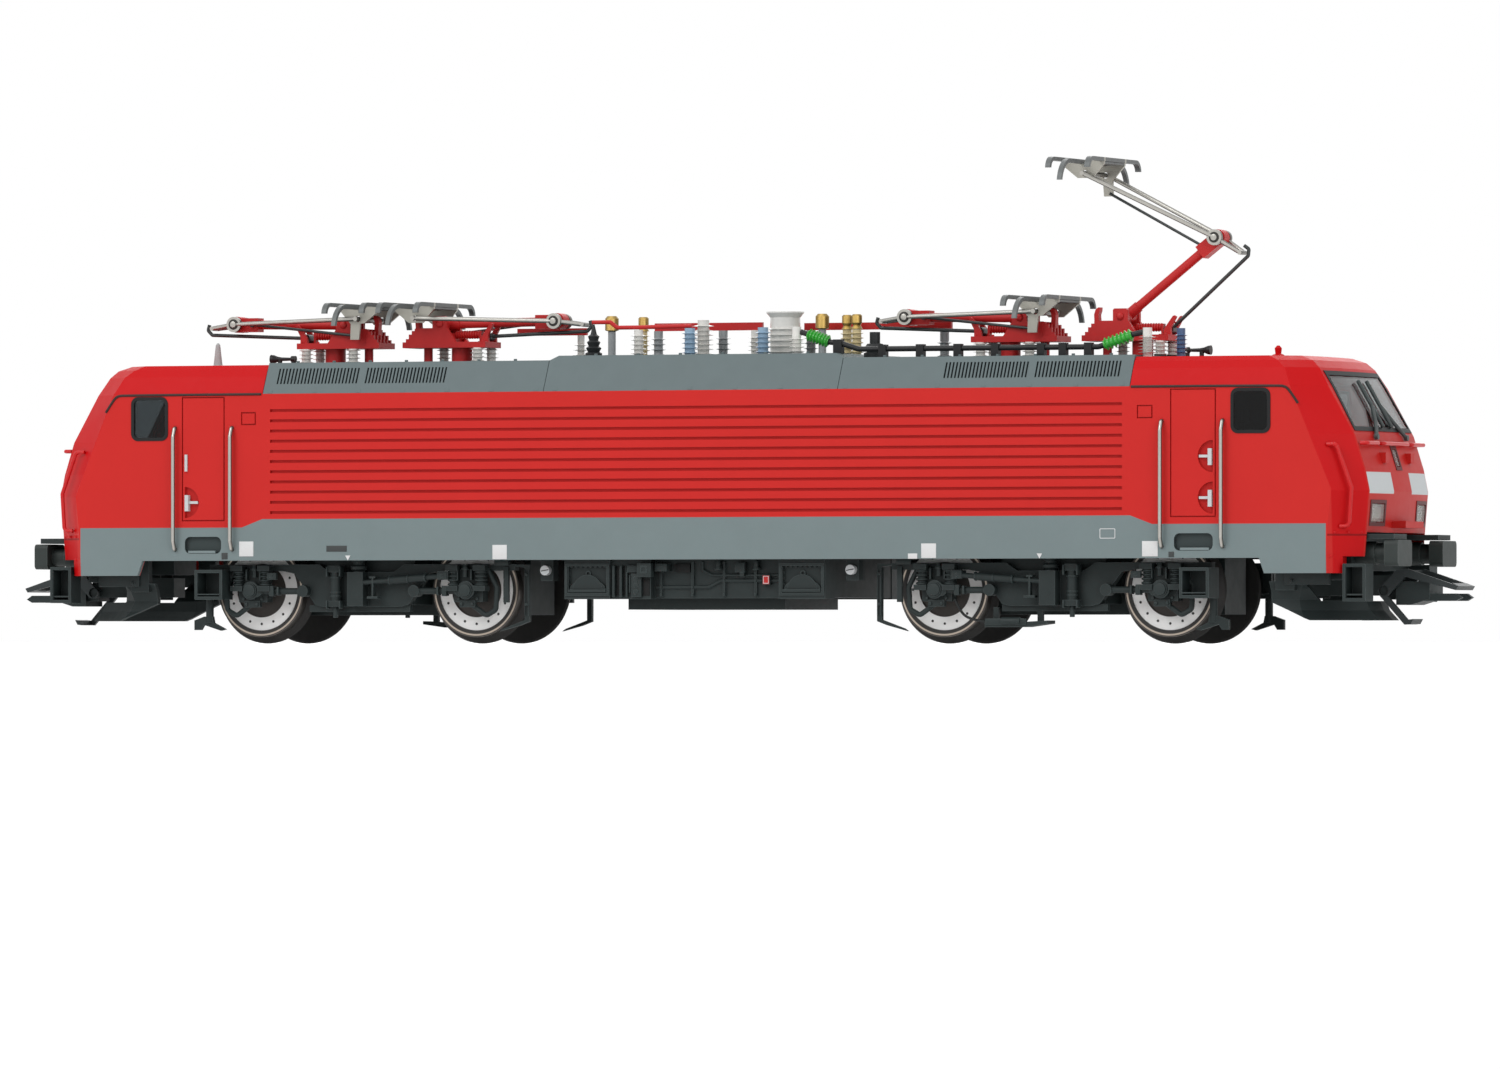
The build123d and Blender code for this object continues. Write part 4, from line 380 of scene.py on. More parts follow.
def frame_plastic(name, colour, rough=0.5):
    """Moulded dark plastic with a fine grain, with painted shade in corners and painted highlights on edges.
    """
    paint = Paint(name)
    base = mottled(paint, colour, 0.18, 0.35)
    # Painted shade: darker where little open space is round the surface, in corners and between parts
    corners = 1 - paint.open_sky(1.6)
    shade = paint.mix(corners * 0.8, base, [part * 0.25 for part in colour])
    # Painted highlight: lighter along the edges of the form
    shade = paint.mix(paint.edges(0.2) * 0.6, shade, [min(1.0, part * 3.0 + 0.03) for part in colour])
    paint.bump(paint.noise(6.0, 3.0), 0.02, 0.4)
    return paint.finish(base_color=shade, roughness=rough + paint.noise(0.8, 3.0) * 0.15)


def enamel(name, colour, rough=0.35, metal=0.0, coat=0.0):
    """Smooth paint over small fittings."""
    paint = Paint(name)
    paint.bump(paint.noise(5.0, 2.0), 0.01, 0.3)
    return paint.finish(base_color=mottled(paint, colour, 0.08, 0.8), metallic=metal,
                        roughness=rough + paint.noise(2.0, 3.0) * 0.1, coat_weight=coat)


def glaze(name, colour):
    """Glazed insulator with a clear coat."""
    paint = Paint(name)
    return paint.finish(base_color=mottled(paint, colour, 0.10, 1.2),
                        roughness=0.18 + paint.noise(3.0) * 0.08, coat_weight=0.3, coat_roughness=0.08)


def blue_glaze():
    """Light blue insulators in the middle and dark blue ones near the cabs."""
    paint = Paint("blue_glaze")
    c = colours()
    shade = paint.mix(abs(paint.x).above(40.0, 1.0), c.glaze_blue, c.glaze_dark_blue)
    patches = paint.noise(1.2, 4.0, 0.6) * 0.15
    shade = paint.mix(patches, shade, (0.02, 0.03, 0.05))
    return paint.finish(base_color=shade, roughness=0.2 + paint.noise(3.0) * 0.08, coat_weight=0.3)


def head_finish():
    """Bright side plates between the dark strips and horns of a collector head."""
    paint = Paint("head_finish")
    plate = abs(paint.y).inside(4.1, 4.7, 0.05)
    marks = paint.noise(1.5, 3.0, 0.5)
    dark = mottled(paint, (0.13, 0.14, 0.14), 0.15, 1.0)
    shade = paint.mix(plate, dark, mottled(paint, (0.36, 0.35, 0.31), 0.10, 0.6))
    return paint.finish(base_color=shade, metallic=plate * 0.5 + 0.2, roughness=0.35 + marks * 0.15)


def drawn_metal(name, colour, rough=0.3):
    """Bare wire and strip, with painted shade where the surface turns away from the side."""
    paint = Paint(name)
    marks = paint.noise(1.5, 3.0, 0.5)
    # Painted shade on the tops and bottoms of the wires, where the surface turns away from the side
    turned_away_shade = abs(paint.facing(1)).below(0.72, 0.2)
    shade = mottled(paint, colour, 0.12, 0.6)
    shade = paint.mix(turned_away_shade * 0.75, shade, [part * 0.22 for part in colour])
    return paint.finish(base_color=shade, metallic=0.85, roughness=rough + marks * 0.15)


def wheel_finish(name, x):
    """Dark tyre with a worn edge, white brake disc with holes and dark hub, round one axle."""
    paint = Paint(name)
    c = colours()
    across = paint.x - x
    up = paint.z - AXLE_HEIGHT
    radius = (across * across + up * up) ** 0.5
    angle = paint.node("ShaderNodeMath", {"operation": "ARCTAN2"}, (up, across))
    outside = abs(paint.y).above(9.2, 0.05)
    disc = radius.inside(HUB_RADIUS, DISC_RADIUS, 0.05) * outside
    turn = angle * (HOLES / (2 * math.pi)) + (HOLES + 0.5)
    part = paint.node("ShaderNodeMath", {"operation": "FRACT"}, (turn,)) - 0.5
    along = part * (HOLE_CIRCLE * 2 * math.pi / HOLES)
    hole = (along * along + (radius - HOLE_CIRCLE) * (radius - HOLE_CIRCLE)) ** 0.5
    holes = hole.below(HOLE_RADIUS, 0.05) * disc
    tyre = mottled(paint, (0.035, 0.034, 0.033), 0.25, 0.8)
    hub = mottled(paint, (0.045, 0.040, 0.036), 0.2, 0.6)
    colour = paint.mix(radius.below(HUB_RADIUS, 0.05) * outside, tyre, hub)
    worn = radius.inside(*WORN_EDGE, 0.06) * outside
    colour = paint.mix(worn, colour, (0.42, 0.36, 0.30))
    tread = radius.above(TREAD_RADIUS, 0.03) * abs(paint.y).above(8.3, 0.1)
    colour = paint.mix(tread, colour, (0.11, 0.10, 0.092))
    colour = paint.mix(disc, colour, c.disc_white)
    # Painted shade inside the holes of the brake disc
    colour = paint.mix(holes, colour, (0.03, 0.03, 0.03))
    bare = worn.most(tread)
    paint.bump(holes * -1.0, 0.15, 0.6)
    return paint.finish(base_color=colour, metallic=bare * 0.8, roughness=0.5 - bare * 0.15)


def window_glass():
    """Clear windscreens and dark side windows."""
    paint = Paint("window_glass")
    side = abs(paint.y).above(15.5, 0.2)
    colour = paint.mix(side, (0.66, 0.72, 0.73), (0.05, 0.06, 0.065))
    return paint.finish(base_color=colour, roughness=paint.noise(0.2) * 0.02, transmission_weight=1.0,
                        ior=1.3, specular_ior_level=0.5)


def lamp_glass():
    paint = Paint("lamp_glass")
    lines = paint.node("ShaderNodeTexWave", {"bands_direction": "Y"}, {"Vector": paint.place, "Scale": 1.6})
    paint.bump(lines, 0.03, 0.5)
    return paint.finish(base_color=(0.85, 0.86, 0.82), roughness=0.12 + paint.noise(1.0) * 0.03,
                        transmission_weight=0.85, ior=1.3, specular_ior_level=0.5)


def cab_plastic():
    """Light grey driver's room with a dark desk top."""
    paint = Paint("cab_plastic")
    desk = abs(paint.x).above(96.0, 0.1) * paint.z.above(27.2, 0.3)
    colour = paint.mix(desk, mottled(paint, (0.34, 0.36, 0.36), 0.08, 0.2), (0.10, 0.11, 0.11))
    paint.bump(paint.noise(4.0), 0.02, 0.4)
    return paint.finish(base_color=colour, roughness=0.55 + paint.noise(0.8) * 0.1)


def lens_finish():
    """Reflector behind a lamp glass, with small cells."""
    paint = Paint("lens_finish")
    c = colours()
    cells = paint.node("ShaderNodeTexVoronoi", {}, {"Vector": paint.place, "Scale": 2.5})
    paint.bump(cells, 0.05, 0.5)
    return paint.finish(base_color=mottled(paint, c.lens_grey, 0.12, 0.8), metallic=0.2, roughness=0.3)


def plate_finish(name, colour):
    """Blank printed plate, slightly worn."""
    paint = Paint(name)
    wear = paint.noise(2.5, 4.0, 0.6).above(0.66, 0.08) * 0.25
    worn = [part * 0.7 for part in colour]
    return paint.finish(base_color=paint.mix(wear, colour, worn),
                        roughness=0.45 + paint.noise(1.0) * 0.1)


def cable_black():
    paint = Paint("cable_black")
    paint.bump(paint.noise(3.0), 0.02, 0.3)
    return paint.finish(base_color=mottled(paint, (0.012, 0.013, 0.014), 0.2, 0.5),
                        roughness=0.3 + paint.noise(1.0) * 0.15)


def floor_paint():
    """Plain floor that looks white from the camera and in reflections, with its shadow."""
    paint = Paint("floor_paint")
    rays = paint.tree.nodes.new("ShaderNodeLightPath").outputs
    seen = Signal(paint, rays["Is Camera Ray"])
    seen = seen.most(Signal(paint, rays["Is Glossy Ray"])).most(Signal(paint, rays["Is Transmission Ray"]))
    stage = bpy.context.scene.locomotive_stage
    glow = paint.mix(seen, (0.0, 0.0, 0.0), (1.0, 1.0, 1.0))
    return paint.finish(base_color=mottled(paint, stage.floor_white, 0.02, 0.01), roughness=0.8,
                        emission_color=glow, emission_strength=stage.floor_glow)


# Shapes

class Shape:
    """A mesh in the making, in millimetres with heights above the rail."""

    def __init__(self):
        self.mesh = bmesh.new()

    def _set(self, verts, centre, turn):
        bmesh.ops.transform(self.mesh, matrix=Matrix.Translation(Vector(centre)) @ turn, verts=verts)

    def _bevel(self, verts, width):
        edges = {edge for vert in verts for edge in vert.link_edges if edge.calc_face_angle(0.0) > 0.5}
        bmesh.ops.bevel(self.mesh, geom=list(edges), offset=width, offset_type="OFFSET", segments=2,
                        profile=0.5, affect="EDGES", material=-1, clamp_overlap=True)

    def _raise(self, faces, rise):
        raised = bmesh.ops.extrude_face_region(self.mesh, geom=faces)["geom"]
        verts = [item for item in raised if isinstance(item, bmesh.types.BMVert)]
        bmesh.ops.translate(self.mesh, vec=rise, verts=verts)

    def block(self, centre, size, bevel=0.06, turn=None):
        made = bmesh.ops.create_cube(self.mesh, size=1.0)["verts"]
        bmesh.ops.scale(self.mesh, vec=size, verts=made)
        self._set(made, centre, turn or Matrix.Identity(4))
        if bevel:
            self._bevel(made, bevel)

    def blocks(self, rows, bevel):
        """Blocks from rows of X, Y, height and size."""
        for x, y, z, size in rows:
            self.block((x, y, z), size, bevel)

    def peg(self, centre, radius, length, axis="Z", segments=16, bevel=0.05):
        made = bmesh.ops.create_cone(self.mesh, cap_ends=True, segments=segments, radius1=radius,
                                     radius2=radius, depth=length)["verts"]
        turns = {"X": Matrix.Rotation(math.pi / 2, 4, "Y"), "Y": Matrix.Rotation(-math.pi / 2, 4, "X"),
                 "Z": Matrix.Identity(4)}
        self._set(made, centre, turns[axis])
        if bevel:
            self._bevel(made, bevel)

    def dome(self, centre, radius, axis="Y", flat=0.5):
        """A round bolt head standing along an axis, flattened by a factor."""
        made = bmesh.ops.create_uvsphere(self.mesh, u_segments=14, v_segments=8, radius=radius)["verts"]
        scale = {"X": (flat, 1, 1), "Y": (1, flat, 1), "Z": (1, 1, flat)}[axis]
        bmesh.ops.scale(self.mesh, vec=scale, verts=made)
        self._set(made, centre, Matrix.Identity(4))

    def ring(self, outer, inner, rise):
        """A flat frame between two closed lines of points, raised along a vector."""
        loops = [[self.mesh.verts.new(point) for point in line] for line in (outer, inner)]
        faces = []
        for spot in range(len(outer)):
            near = (spot + 1) % len(outer)
            corners = (loops[0][spot], loops[0][near], loops[1][near], loops[1][spot])
            faces.append(self.mesh.faces.new(corners))
        self._raise(faces, rise)

    def frame(self, centre, outer, inner, rise):
        """An upright frame between two rounded forms of width, height and corner radius."""
        x, y, z = centre
        self.ring(*[[(x + u, y, z + v) for u, v in rounded(*form)] for form in (outer, inner)], (0, rise, 0))

    def sheet(self, points, rise):
        """A plate with the outline of the points, thickened along a vector."""
        self._raise([self.mesh.faces.new([self.mesh.verts.new(point) for point in points])], rise)

    def mirrored(self, axes):
        """Adds the copies mirrored across X, Y or both, or turned half round."""
        for flip in axes:
            source = self.mesh.verts[:] + self.mesh.edges[:] + self.mesh.faces[:]
            copy = bmesh.ops.duplicate(self.mesh, geom=source)["geom"]
            verts = [g for g in copy if isinstance(g, bmesh.types.BMVert)]
            factor = {"x": (-1, 1, 1), "y": (1, -1, 1), "turn": (-1, -1, 1)}[flip]
            bmesh.ops.scale(self.mesh, vec=factor, verts=verts)
            if flip != "turn":
                faces = [g for g in copy if isinstance(g, bmesh.types.BMFace)]
                bmesh.ops.reverse_faces(self.mesh, faces=faces)

    def piece(self, name, body, material):
        """Writes the mesh out as a piece that rides on a body."""
        bmesh.ops.recalc_face_normals(self.mesh, faces=self.mesh.faces)
        bmesh.ops.translate(self.mesh, vec=(0, 0, RAIL), verts=self.mesh.verts)
        bmesh.ops.scale(self.mesh, vec=(MM, MM, MM), verts=self.mesh.verts)
        mesh = bpy.data.meshes.new(name)
        self.mesh.to_mesh(mesh)
        self.mesh.free()
        mesh.shade_smooth()
        mesh.set_sharp_from_angle(angle=math.radians(40))
        add(name, mesh, body, material)


def add(name, data, body, material):
    """Puts a piece into the scene."""
    thing = bpy.data.objects.new(name, data)
    bpy.context.scene.collection.objects.link(thing)
    data.materials.append(material)
    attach(thing, body)


def rounded(width, height, radius, steps=5):
    """Points round a rectangle with rounded corners, about its middle."""
    points = []
    for number, (across, up) in enumerate(((1, 1), (-1, 1), (-1, -1), (1, -1))):
        for step in range(steps + 1):
            angle = math.pi / 2 * (number + step / steps)
            points.append((across * (width / 2 - radius) + radius * math.cos(angle),
                           up * (height / 2 - radius) + radius * math.sin(angle)))
    return points


def arch(radius, rise, steps=16):
    """Points along the upper half of an ellipse."""
    angles = [math.pi * step / steps for step in range(steps + 1)]
    return [(radius * math.cos(angle), rise * math.sin(angle)) for angle in angles]


def even(corners, steps=10):
    """Points spread along the straight sides between corners."""
    points = []
    for first, second in zip(corners, corners[1:] + corners[:1]):
        for step in range(steps):
            share = step / steps
            points.append(tuple(a + share * (b - a) for a, b in zip(first, second)))
    return points


def tube(name, runs, radius, body, material):
    """Round wire along one or more lines of points, in millimetres."""
    curve = bpy.data.curves.new(name, "CURVE")
    curve.dimensions = "3D"
    curve.bevel_depth = radius * MM
    curve.bevel_resolution = 3
    curve.use_fill_caps = True
    for points in runs:
        spline = curve.splines.new("NURBS")
        spline.points.add(len(points) - 1)
        for spot, point in zip(spline.points, points):
            spot.co = (*at(*point), 1.0)
        spline.order_u = 3
        spline.use_endpoint_u = True
    add(name, curve, body, material)


def dress(finish, *nodes):
    """Gives nodes of the model their finish."""
    for node in nodes:
        mesh = NODES[node].data
        mesh.materials.clear()
        mesh.materials.append(finish)


# Operators

class PaintBodywork(bpy.types.Operator):
    """Paints the body, the roof hatches, the glass and the cab rooms"""
    bl_idname = "locomotive.paint_bodywork"
    bl_label = "Paint the bodywork"

    def execute(self, context):
        c = colours()
        dress(body_paint(), "body_shell")
        dress(hatch_paint(), "roof_hatch_1", "roof_hatch_2", "roof_hatch_middle")
        dress(window_glass(), "cab_glazing")
        dress(lamp_glass(), "head_lamps")
        dress(cab_plastic(), "cab_interiors")
        dress(drawn_metal("rail_wire", c.wire_silver, 0.25), "door_handrails")
        dress(enamel("red_wire", c.roof_red, 0.35, coat=0.2), "front_handrails")
        dress(enamel("white_handles", c.stripe_white, 0.35), "door_handles")
        dress(enamel("wiper_grey", (0.06, 0.07, 0.07), 0.4), "windscreen_wipers")
        return {"FINISHED"}


class PaintRunningGear(bpy.types.Operator):
    """Finishes the bogies, wheels, underfloor boxes, ploughs, buffers and couplers"""
    bl_idname = "locomotive.paint_running_gear"
    bl_label = "Finish the running gear"

    def execute(self, context):
        c = colours()
        dress(frame_plastic("frame_plastic", c.frame_grey), "bogie_1", "bogie_2",
              "underfloor_equipment", "snow_ploughs", "end_steps", "chassis")
        dress(enamel("motor_iron", (0.06, 0.06, 0.065), 0.5, 0.6), "motor_block")
        dress(enamel("cap_white", c.stripe_white, 0.3), "underfloor_caps")
        dress(frame_plastic("buffer_plastic", c.buffer_grey, 0.45), "buffers")
        dress(frame_plastic("coupler_plastic", c.frame_grey, 0.45), "coupler_1_shaft", "coupler_2_shaft")
        dress(enamel("hoop_black", (0.035, 0.042, 0.043), 0.4, 0.3), "coupler_1_hoop", "coupler_2_hoop")
        for number, x in AXLES:
            dress(wheel_finish(f"wheel_finish_{number}", x), f"wheelset_{number}")
        return {"FINISHED"}


class FinishRoof(bpy.types.Operator):
    """Finishes the current collectors, insulators, bars and cable on the roof"""
    bl_idname = "locomotive.finish_roof"
    bl_label = "Finish the roof equipment"

    def execute(self, context):
        c = colours()
        dress(glaze("white_glaze", c.glaze_white), "insulators_white")
        dress(glaze("grey_glaze", c.glaze_grey), "insulators_grey")
        dress(blue_glaze(), "insulators_blue")
        dress(glaze("cream_glaze", c.glaze_cream), "insulators_cream")
        dress(glaze("green_glaze", c.glaze_green), "cable_sleeves")
        dress(drawn_metal("switch_brass", c.brass_yellow), "brass_contacts")
        dress(enamel("fitting_black", (0.02, 0.022, 0.023), 0.35), "roof_black_fittings")
        dress(enamel("antenna_grey", (0.40, 0.42, 0.42), 0.4), "antennas")
        dress(cable_black(), "roof_cable")
        red = enamel("linkage_red", c.linkage_red, 0.4)
        dress(red, "busbars", "pantograph_bases")
        wire = drawn_metal("arm_wire", c.wire_silver)
        rod = enamel("rod_grey", c.rod_grey, 0.35, 0.4)
        head = head_finish()
        for number in (1, 2, 3, 4):
            collector = f"pantograph_{number}"
            dress(red, f"{collector}_lower_arm")
            dress(wire, f"{collector}_upper_arm")
            dress(head, f"{collector}_head")
            dress(rod, f"{collector}_thrust_rod", f"{collector}_guide_rod")
        return {"FINISHED"}


class FitWindowFrames(bpy.types.Operator):
    """Fits the rubber round the side windows and the dark frames of the windscreens"""
    bl_idname = "locomotive.fit_window_frames"
    bl_label = "Fit the window frames"

    def execute(self, context):
        c = colours()
        rubber = enamel("window_rubber", c.gasket_black, 0.45)
        width = sizes().gasket_width / MM
        stand = sizes().gasket_height / MM
        frames = Shape()
        frames.frame((90.7, -BODY_SIDE + 0.1, 33.75), (5.6 + 2 * width, 6.1 + 2 * width, 0.8 + width),
                     (5.3, 5.8, 0.7), -0.1 - stand)
        frames.mirrored(("x", "y"))
        frames.piece("side_window_rubber", "locomotive", rubber)
        screens = Shape()
        low, high = WINDSCREEN_HEIGHTS
        foot, head = WINDSCREEN_HALF_WIDTHS
        lines = []
        for margin in (0.3, -0.35):
            corners = [(-foot - margin, low - margin), (foot + margin, low - margin),
                       (head + margin, high + margin), (-head - margin, high + margin)]
            lines.append([(front_x(z, y) - 0.15, y, z) for y, z in even(corners)])
        screens.ring(*lines, (0.15 + stand, 0, 0.05))
        screens.mirrored(("turn",))
        screens.piece("windscreen_frames", "locomotive", rubber)
        return {"FINISHED"}


class FitBodyTrim(bpy.types.Operator):
    """Fits the rain gutters, the frames round the lamps and the small bolts of the corners"""
    bl_idname = "locomotive.fit_body_trim"
    bl_label = "Fit the body trim"

    def execute(self, context):
        c = colours()
        radius = sizes().gutter_radius / MM
        line = ((71.7, 37.45), (95.1, 37.45), (96.2, 37.3), (96.9, 36.7), (98.2, 34.8))
        runs = []
        for end in (1, -1):
            for side in (1, -1):
                runs.append([(end * x, side * (BODY_SIDE + 0.02), z) for x, z in line])
        brown = enamel("gutter_brown", c.gutter_brown, 0.4)
        tube("rain_gutters", runs, radius, "locomotive", brown)
        frames = Shape()
        lenses = Shape()
        for y, z, width, height in LAMPS:
            lines = []
            for grow in (0.55, 0.0):
                half = width / 2 + grow
                rise = height / 2 + grow
                corners = [(y - half, z - rise), (y + half, z - rise),
                           (y + half, z + rise), (y - half, z + rise)]
                lines.append([(front_x(v, u) - 0.1, u, v) for u, v in even(corners, 4)])
            frames.ring(*lines, (0.2, 0, 0))
            depth = front_x(z, y) - 1.6
            lenses.block((depth, y, z), (0.8, width + 0.4, height + 0.4), 0.1)
            if width > 3:
                for part in (-1, 1):
                    lenses.dome((depth + 0.35, y + part * width * 0.24, z), 1.05, "X", 0.4)
        frames.mirrored(("turn",))
        dark_red = enamel("lamp_frame", (0.09, 0.010, 0.010), 0.45)
        frames.piece("lamp_frames", "locomotive", dark_red)
        lenses.mirrored(("turn",))
        lenses.piece("lamp_reflectors", "locomotive", lens_finish())
        bolts = Shape()
        for x, y, z in ((103.7, -16.6, 15.6), (105.4, -15.2, 15.6),
                        (106.9, -13.6, 15.6), (103.4, -17.25, 12.0)):
            bolts.dome((x, y, z), 0.2, "Y", 0.7)
        bolts.mirrored(("x", "y"))
        bolts.piece("corner_bolts", "locomotive", enamel("bolt_red", c.roof_red, 0.4))
        lips = Shape()
        lips.block((81.8, -17.15, 13.15), (4.6, 0.5, 0.4), 0.05)
        lips.mirrored(("x", "y"))
        lips.piece("step_slot_lips", "locomotive", enamel("lip_grey", c.band_grey, 0.4))
        return {"FINISHED"}


class FitPlates(bpy.types.Operator):
    """Fits the blank plates and marks on the lower band"""
    bl_idname = "locomotive.fit_plates"
    bl_label = "Fit the blank plates"

    def execute(self, context):
        c = colours()
        face = -BODY_SIDE - 0.02
        white = Shape()
        white.blocks(((74.7, face, 13.2, (2.5, 0.1, 2.3)), (39.1, face, 13.0, (2.4, 0.1, 2.2)),
                      (36.5, face, 12.2, (1.5, 0.1, 0.8)), (-74.2, face, 13.6, (2.4, 0.1, 2.3)),
                      (-31.5, face, 13.0, (2.4, 0.1, 2.2))), 0.02)
        for x in (57.0, -57.0):
            white.peg((x, face, 12.3), 0.5, 0.1, "Y", 3, 0)
        white.frame((67.9, face + 0.04, 15.5), (2.5, 1.5, 0.15), (2.3, 1.3, 0.1), -0.06)
        white.mirrored(("turn",))
        white.piece("blank_plates", "locomotive", plate_finish("plate_white", c.plate_white))
        dark = Shape()
        dark.blocks(((-58.9, face, 13.6, (3.4, 0.12, 0.9)), (-77.9, face, 12.5, (1.0, 0.12, 1.0)),
                     (78.1, face, 12.35, (0.85, 0.12, 0.8))), 0.03)
        dark.mirrored(("turn",))
        dull = plate_finish("plate_dark", (0.05, 0.055, 0.055))
        dark.piece("dark_plates", "locomotive", dull)
        return {"FINISHED"}


class FitCabSeats(bpy.types.Operator):
    """Fits the drivers' seats and the desk controls behind the windscreens"""
    bl_idname = "locomotive.fit_cab_seats"
    bl_label = "Fit the cab seats"

    def execute(self, context):
        c = colours()
        seats = Shape()
        for y in (-6.0, 6.0):
            seats.peg((88.5, y, 20.5), 0.9, 4.0)
            seats.block((88.5, y, 23.2), (5.0, 4.8, 1.4), 0.5)
            seats.block((86.2, y, 28.0), (1.3, 4.6, 8.6), 0.5, Matrix.Rotation(-0.12, 4, "Y"))
            seats.block((85.5, y, 33.2), (1.0, 3.0, 2.0), 0.4)
        seats.mirrored(("turn",))
        seats.piece("cab_seats", "locomotive", enamel("seat_cloth", c.seat_grey, 0.7))
        desk = Shape()
        for y in (-8.0, -3.0, 3.0, 8.0):
            desk.block((100.2, y, 30.1), (0.5, 3.2, 0.9), 0.15, Matrix.Rotation(0.5, 4, "Y"))
        desk.mirrored(("turn",))
        dark = enamel("desk_dark", (0.02, 0.022, 0.024), 0.3)
        desk.piece("desk_screens", "locomotive", dark)
        return {"FINISHED"}


class FitRoofBolts(bpy.types.Operator):
    """Fits bolt heads, insulator feet and studs on the roof and the current collectors"""
    bl_idname = "locomotive.fit_roof_bolts"
    bl_label = "Fit the roof bolts"

    def execute(self, context):
        c = colours()
        red = enamel("bolt_head_red", c.linkage_red, 0.35)
        heads = Shape()
        feet = Shape()
        for _, x, way in COLLECTORS:
            for side in (-1, 1):
                heads.dome((x, side * EAR_FACE, PIVOT_HEIGHT), 0.62, "Y", 0.6)
                for along in (-5.4, 1.6, 4.4, 7.2):
                    heads.peg((x + way * along, side * 2.55, PIVOT_HEIGHT - 2.72), 0.22, 0.3, "Z", 8, 0.03)
            for along, across in ((6.4, 2.6), (6.4, -2.6), (-1.6, 2.6)):
                feet.peg((x + way * along, way * across, 42.45), 0.95, 0.3, "Z", 12, 0.08)
        heads.piece("collector_bolts", "locomotive", red)
        grey = enamel("foot_grey", (0.09, 0.10, 0.10), 0.45)
        feet.piece("insulator_feet", "locomotive", grey)
        studs = Shape()
        for places, y, z in (((30.5, 36.6, 42.7, 48.8, 54.9, 61.0, 67.1), 13.6, 42.4),
                             ((3.5, 10.5, 17.5), 12.6, 43.1)):
            for x in places:
                for side in (-1, 1):
                    studs.peg((x, side * y, z), 0.28, 0.4, "Z", 8, 0.05)
        studs.mirrored(("x",))
        studs.piece("hatch_studs", "locomotive", enamel("stud_grey", c.hatch_grey, 0.45))
        return {"FINISHED"}


class FitBogieDetails(bpy.types.Operator):
    """Fits axle caps, nuts, clips, hoses and damper heads on the bogies"""
    bl_idname = "locomotive.fit_bogie_details"
    bl_label = "Fit the bogie details"

    def execute(self, context):
        c = colours()
        # The trim is a fifth lighter than the frame grey, a painted highlight on the parts that stand out
        plastic = frame_plastic("bogie_trim_painted_highlight", [part * 1.2 for part in c.frame_grey], 0.42)
        rubber = enamel("hose_rubber", (0.012, 0.014, 0.014), 0.45)
        for number, middle, way in BOGIES:
            parts = Shape()
            for end in (1, -1):
                axle = middle + way * end * HALF_WHEELBASE
                into = -way * end
                parts.peg((axle, -13.8, AXLE_HEIGHT), 1.42, 0.3, "Y", 28, 0.08)
                parts.peg((axle, -14.25, AXLE_HEIGHT), 0.92, 0.3, "Y", 28, 0.1)
                parts.peg((axle + into * 0.4, -13.25, 10.2), 0.42, 2.0, "Z", 6, 0.06)
                parts.peg((axle + into * 0.4, -13.25, 10.5), 0.6, 0.3, "Z", 12, 0.05)
                for offset in (-0.8, 1.5):
                    parts.block((axle + into * offset, -13.3, 9.6), (0.22, 0.9, 1.7), 0.04)
                for offset in (-0.9, 0.9):
                    parts.peg((axle + offset, -13.4, 5.1), 0.24, 0.3, "Y", 6, 0.04)
                    parts.peg((axle + offset * 1.7, -13.0, 5.9), 0.24, 0.4, "Y", 6, 0.04)
                parts.peg((axle + into * 3.8, -14.55, 9.4), 0.3, 0.25, "Y", 6, 0.04)
                parts.blocks(((axle + into * 3.8, -14.1, 9.4, (1.6, 0.8, 1.1)),
                              (axle + into * 3.6, -13.5, 7.1, (0.8, 1.2, 1.6))), 0.12)
                parts.block((axle + into * 4.7, -13.5, 7.1), (0.3, 1.3, 1.3), 0.06)
            line = ((-15.2, 5.7), (-14.4, 4.2), (-13.7, 3.3), (-12.6, 2.75), (-11.3, 2.5), (-9.6, 2.2))
            hoses = [[(middle + way * along, way * -13.2, z) for along, z in line]]
            parts.blocks([(middle + way * along, *row) for along, *row in BOGIE_BLOCKS], 0.05)
            for along, z, radius in ((3.9, 9.2, 0.88), (3.9, 6.9, 0.84), (3.9, 6.3, 0.84)):
                parts.peg((middle + way * along, -13.5, z), radius, 0.25, "Z", 20, 0.05)
            parts.peg((middle + way * 3.9, -13.5, 3.9), 0.4, 1.8, "Z", 12, 0.12)
            for along, z in ((-11.5, 9.18), (-8.6, 8.96), (-5.5, 8.73)):
                parts.peg((middle + way * along, -14.0, z), 0.7, 0.25, "X", 20, 0.05)
            parts.frame((middle + way * 24.35, -15.98, 8.1), (4.7, 4.6, 0.15), (3.8, 3.7, 0.1), -0.14)
            for across in (-0.28, 0.28):
                parts.block((middle - way * 27.8 + way * across, -12.4, 6.8), (0.12, 0.3, 7.0), 0.03)
            for z in (5.0, 9.6):
                parts.peg((middle - way * 27.8, -12.5, z), 0.24, 0.35, "Y", 6, 0.04)
            parts.mirrored(("y",))
            parts.block((middle - way * 6.4, way * -14.5, 2.3), (6.6, 0.4, 1.0), 0.05)
            parts.peg((middle - way * 5.6, way * -14.5, 2.4), 0.6, 3.0, "X", 16, 0.05)
            parts.piece(f"bogie_{number}_details", f"bogie_{number}", plastic)
            tube(f"bogie_{number}_hoses", hoses, 0.2, f"bogie_{number}", rubber)
        return {"FINISHED"}


